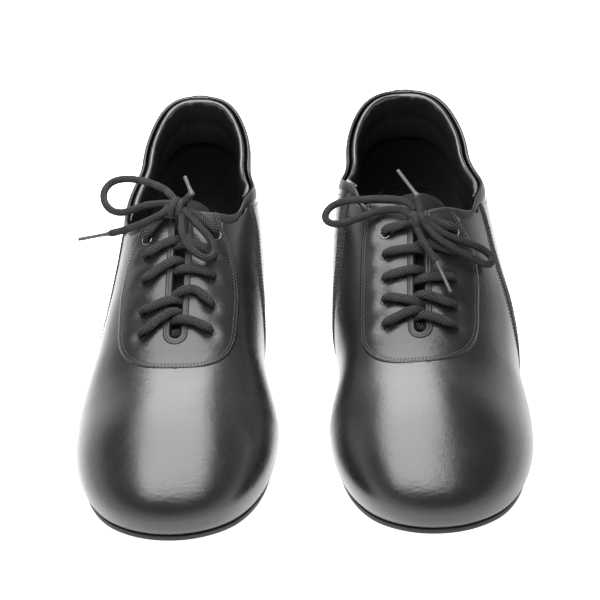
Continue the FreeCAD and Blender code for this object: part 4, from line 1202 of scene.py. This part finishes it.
def rung_press(share):
    """A rung spreads where it is pulled flat over the facing and draws in at its eyelet."""
    lying = ease((share - 0.12) / 0.14) * ease((0.7 - share) / 0.1)
    drawn = 1 - 0.16 * hump(share - 0.07, 0.07)
    return (1 + 0.3 * lying) * drawn, (1 - 0.12 * lying) * drawn


def rung_route(shoe, side, row):
    """Up out of an eyelet, over the facing and its folded strip, and down under the far facing's edge."""
    y = EYELET_YS[shoe.name][side][row]
    climb = RUNG_CLIMB[shoe.name][side][row]
    arch = RUNG_ARCH[shoe.name][side][row]
    hop = RUNG_HOP[shoe.name][side][row]
    above = EYELET_YS[shoe.name][-side][row + 1] - 0.8

    def spot(x, at, out):
        return shoe.lift(shoe.slit_x(at) + side * x, at, out)
    return [
        spot(EYELET_X, y, LACE_UNDER),
        spot(EYELET_X + 0.1, y, 0.4),
        spot(EYELET_X - 0.9, y + 0.1, LACE_OVER - 0.1),
        spot(EYELET_X - 4.5, y + climb * 0.12 + arch * 0.6, LACE_OVER + 0.1),
        spot(8.8, y + climb * 0.5 + arch, LACE_OVER + 0.0),
        spot(4.4, y + climb * 0.78 + arch * 0.6, LACE_OVER + 0.3 + hop),
        spot(0.8, y + climb, LACE_OVER - 0.7 + hop),
        spot(-2.4, y + climb + 0.6, -1.0),
        spot(-5.5, y + climb + 1.2, LACE_UNDER - 0.4),
        spot(-EYELET_X + 4.6, above, LACE_UNDER),
    ]


def last_route(shoe, side):
    """From the top eyelet to the knot."""
    last = EYELET_YS[shoe.name][side][-1]
    knot_x, knot_y = shoe.knot
    return [
        shoe.lift(shoe.slit_x(last) + side * EYELET_X, last, LACE_UNDER),
        shoe.lift(shoe.slit_x(last) + side * (EYELET_X + 0.1), last, 0.9),
        shoe.lift(shoe.slit_x(last) + side * (EYELET_X - 1.6), last + 0.1 * (knot_y - last), LACE_OVER + 0.6),
        shoe.lift(shoe.slit_x(last) + side * 11.5, last + 0.5 * (knot_y - last), LACE_OVER + 0.4),
        shoe.lift(knot_x + side * 6.0, knot_y + 0.8 + side * 0.8, LACE_OVER + 1.2),
        shoe.lift(knot_x, knot_y + 1.0 + side, LACE_OVER + 1.9),
    ]


def make_lacing(shoe):
    routes = []
    for side in (-1, 1):
        for row in range(ROWS - 1):
            routes.append(rung_route(shoe, side, row))
        routes.append(last_route(shoe, side))
    bar = []
    for x in (-13.8, -5, 5, 13.8):
        first = EYELET_YS[shoe.name][-1 if x < 0 else 1][0] - 0.3
        bar.append(shoe.lift(shoe.slit_x(first) + x, first, LACE_UNDER))
    routes.append(bar)
    placed = [shoe.place_points(np.array([np.asarray(p, float).reshape(3) for p in r])) for r in routes]
    vertices, faces, uvs = braided_tube(placed, press=rung_press)[:3]
    piece = weld(add_object(shoe.node("lace_rungs"), vertices, faces, MATERIALS["lace"], uvs), 0)
    finish_piece(shoe, piece, shoe.body, ("lacing",))


# The bow's free laces: each runs from the knot round its loop, back through the knot, and out as a
# tail to its tip. Control points in the shoe's own frame, the same as the CAD cords' points.
BOW = {
    "left": {
        "inner": (
            (-0.5, 159, 97.5), (-5, 163.5, 101), (-12, 166.5, 101), (-20, 170.5, 99), (-29, 175.5, 95.5),
            (-38, 179, 93), (-45.5, 177.5, 90.5), (-49, 171.5, 88.5), (-46.5, 167, 87), (-40, 166.5, 86.5),
            (-31, 168.5, 88.5), (-21, 167.5, 93), (-12, 165, 96), (-5, 160.5, 96.5)),
        "outer": (
            (3.5, 154.5, 95), (10, 148.5, 91.5), (17.5, 146.5, 88), (26, 147.5, 83.5), (32.5, 149, 78.8),
            (37.4, 148, 74.8), (37.8, 143.2, 73.1), (34, 139.6, 74.7), (26.5, 139.4, 80), (17, 140.5, 86),
            (9, 143.5, 90.5),
            (3.5, 150.0, 94.5)),
        "up": ((1.2, 155.5, 98.6), (0.8, 160, 101.8), (-0.5, 163.5, 105)),
        "down": ((-1.5, 152.5, 94), (0.5, 145, 90.5), (4, 137.5, 87), (8, 131.5, 83)),
    },
    "right": {
        "outer": (
            (4, 170, 100.5), (8, 178, 101), (14.5, 186, 99.5), (23.5, 193.5, 98), (33.5, 198.5, 96),
            (41, 198.5, 94), (45, 192.5, 92), (44, 183.5, 90.5), (39.5, 177, 89.5), (33.5, 175, 89.5),
            (27, 176, 91.5), (20, 174, 95.5), (12, 171, 98.5), (6, 169.5, 99.5)),
        "inner": (
            (0.5, 164, 99), (0, 156, 97), (-0.5, 149.5, 94), (-4, 143.5, 90.5), (-8.6, 139.8, 88.2),
            (-13, 138.2, 86.3), (-17, 140.4, 85.8), (-18, 145, 87.4), (-15.5, 149.8, 90.8),
            (-10.5, 153.5, 94.5),
            (-5, 158.5, 97.5), (-1, 163, 99.5)),
        "up": ((1.5, 167.8, 101.2), (-2.4, 166.6, 103.6), (-4.8, 167.5, 107.5)),
        "down": (
            (6, 164.5, 99.5), (13, 163, 96), (19.5, 163.5, 92), (27, 166.5, 86.5), (34, 170, 81.5),
            (41, 172.5, 78)),
    },
}
# Which tail each loop's lace ends in.
TAIL_OF = {"inner": "down", "outer": "up"}
TIP_WAY = {
    "left": {"up": (-9.5, 15.5, 7), "down": (6, -15.5, -8.5)},
    "right": {"up": (3.3, 6.5, 5), "down": (17, -0.5, -3.5)},
}
TIP_LENGTH = {"left": {"up": 17.0, "down": 17.0}, "right": {"up": 9.0, "down": 16.0}}


def make_aglet(shoe, tail):
    """A rolled film tip, with the lace's sheath drawn in ahead of it."""
    end = np.array(BOW[shoe.name][tail][-1], float)
    way = unit(np.array(TIP_WAY[shoe.name][tail], float))
    long = TIP_LENGTH[shoe.name][tail]
    profile = ((-1.5, 1.6), (-0.4, 1.5), (0.9, 1.2), (1.9, 1.02), (2.3, 1.06), (2.7, 0.98),
               (long * 0.5, 0.93), (long - 0.6, 1.0), (long + 0.5, 0.97), (long + 0.95, 0.8),
               (long + 1.0, 0.35))
    around = 20
    turns = turns_round(around)
    first = unit(np.cross(way, (0.3, 0.2, 1.0)))
    second = np.cross(way, first)
    vertices = [end + way * z + (first * math.cos(t) + second * math.sin(t)) * r
                for z, r in profile for t in turns]
    faces = tube_faces(len(profile), around)
    piece = weld(add_object(shoe.node("aglet_" + tail), shoe.place_points(vertices), faces,
                            MATERIALS["aglet"]), 0)
    finish_piece(shoe, piece, shoe.body, ("aglets",))
    return piece


def make_bow(shoe):
    for loop, tail in TAIL_OF.items():
        points = BOW[shoe.name][loop] + BOW[shoe.name][tail]
        route = shoe.place_points(points)
        vertices, faces, uvs, lines = braided_tube([route])
        piece = weld(add_object(shoe.node("bow_lace_" + loop), vertices, faces, MATERIALS["lace"], uvs), 0)
        tip = make_aglet(shoe, tail)
        finish_piece(shoe, piece, shoe.body, ("lace_loop_" + loop, "lace_tail_" + tail))
        path = [tuple(p) for p in lines[0]]
        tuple(path[0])


def make_knot(shoe):
    """The bow's knot: a strand wrapped over the others, and the ends that pass under it."""
    x, y = shoe.knot
    centre = shoe.lift(x, y, 6.8)

    def near(dx, dy, dz):
        return centre + np.array((dx, dy, dz), float)
    wrap = [near(2.6, -4.4, -2.4), near(2.4, -4.6, 1.0), near(1.4, -2.6, 3.4), near(0.2, 1.2, 4.2),
            near(-1.2, 4.4, 2.2), near(-1.6, 5.0, -1.6)]
    second = [near(-1.4, -4.4, -2.2), near(-1.6, -4.2, 0.8), near(-2.2, -1.6, 2.8), near(-3.0, 1.8, 3.0),
              near(-3.8, 4.0, 0.6), near(-3.8, 3.6, -2.2)]
    across = [near(-6.0, -0.6, -1.4), near(-3.0, -0.4, 0.2), near(0.5, 0.2, 0.8), near(4.0, 0.6, 0.2),
              near(6.4, 0.4, -1.6)]
    routes = [shoe.place_points(np.array(r)) for r in (wrap, second, across)]
    vertices, faces, uvs = braided_tube(routes)[:3]
    piece = weld(add_object(shoe.node("bow_knot"), vertices, faces, MATERIALS["lace"], uvs), 0)
    finish_piece(shoe, piece, shoe.body, ("lace_knot",))


# ---- stage, light and camera ---------------------------------------------------------------------------
FLOOR_GLOW = 1.0
HORIZON = 2.0             # how bright the room is at floor level
ZENITH = 0.22             # and overhead
SOFTBOX = (-0.25, 0.115, -0.27, 0.5, 0.39)    # lowest and highest x and y, and height, in metres
SOFTBOX_POWER = 7.2


def make_stage():
    size = 6.0
    floor = add_object("floor", [(-size, -size, 0), (size, -size, 0), (size, size, 0), (-size, size, 0)],
                       [(0, 1, 2, 3)], floor_material())


def floor_material():
    """White sweep with a glow of its own, so that it stays white away from the lamps."""
    material, nodes, links, shader = new_material("pale_floor", (0.5, 0.5, 0.5), 0.8)
    coords = object_coords(nodes)
    tint(nodes, links, shader, noise_node(nodes, links, coords, 3, 3), (0.68, 0.68, 0.68), (0.72, 0.72, 0.72))
    shader.inputs["Emission Color"].default_value = (1, 1, 1, 1)
    shader.inputs["Emission Strength"].default_value = FLOOR_GLOW
    return material


def area_light(name, place, aim, size, power):
    data = bpy.data.lights.new(name, "AREA")
    data.shape = "RECTANGLE"
    data.size, data.size_y = size
    data.energy = power
    lamp = bpy.data.objects.new(name, data)
    bpy.context.scene.collection.objects.link(lamp)
    lamp.location = place
    lamp.rotation_euler = (Vector(aim) - Vector(place)).to_track_quat("-Z", "Y").to_euler()
    lamp.visible_camera = False
    return lamp


def make_lights():
    """A white room that darkens upwards, and one long softbox close above the pair, a little to the left."""
    world = bpy.data.worlds.new("studio")
    bpy.context.scene.world = world
    world.use_nodes = True
    nodes, links = world.node_tree.nodes, world.node_tree.links
    direction = nodes.new("ShaderNodeTexCoord").outputs["Generated"]
    split = nodes.new("ShaderNodeSeparateXYZ")
    links.new(direction, split.inputs["Vector"])
    fade = nodes.new("ShaderNodeMapRange")
    fade.interpolation_type = "SMOOTHSTEP"
    fade.inputs["From Min"].default_value = 0.0
    fade.inputs["From Max"].default_value = 0.62
    fade.inputs["To Min"].default_value = HORIZON
    fade.inputs["To Max"].default_value = ZENITH
    links.new(split.outputs["Z"], fade.inputs["Value"])
    links.new(fade.outputs["Result"], nodes["Background"].inputs["Strength"])
    nodes["Background"].inputs["Color"].default_value = (1, 1, 1, 1)
    low_x, high_x, low_y, high_y, z = SOFTBOX
    middle = ((low_x + high_x) / 2, (low_y + high_y) / 2, z)
    area_light("top_softbox", middle, (middle[0], middle[1], 0), (high_x - low_x, high_y - low_y),
               SOFTBOX_POWER)


CAMERA_PLACE = (0.0007, -1.326, 1.0162)
CAMERA_PITCH = math.radians(36.0)
CAMERA_ROLL = math.radians(-2.12)
CAMERA_LENS = 186.0


def make_camera():
    data = bpy.data.cameras.new("camera")
    data.lens = CAMERA_LENS
    data.sensor_width = 36.0
    data.clip_start, data.clip_end = 0.05, 30
    camera = bpy.data.objects.new("camera", data)
    bpy.context.scene.collection.objects.link(camera)
    turn = Matrix.Rotation(math.pi / 2 - CAMERA_PITCH, 4, "X") @ Matrix.Rotation(CAMERA_ROLL, 4, "Z")
    camera.matrix_world = Matrix.Translation(CAMERA_PLACE) @ turn
    bpy.context.scene.camera = camera


make_camera()
make_lights()
make_stage()
for shoe in SHOES:
    make_knot(shoe)
    make_bow(shoe)
    make_lacing(shoe)
    make_vamp(shoe)
    make_quarters(shoe)
    make_gores(shoe)
    make_back_strip(shoe)
    make_eyestay(shoe)
    make_eyestay_stitching(shoe)
    make_binding(shoe)
    make_eyelets(shoe)
    make_tongue(shoe)
    make_topline(shoe)
    make_collar(shoe)
    make_side_stitching(shoe)
    make_lining(shoe)
    make_soles(shoe)
    make_toe_puff(shoe)
    dress_cad_nodes(shoe)
bpy.context.scene.view_settings.view_transform = "Standard"
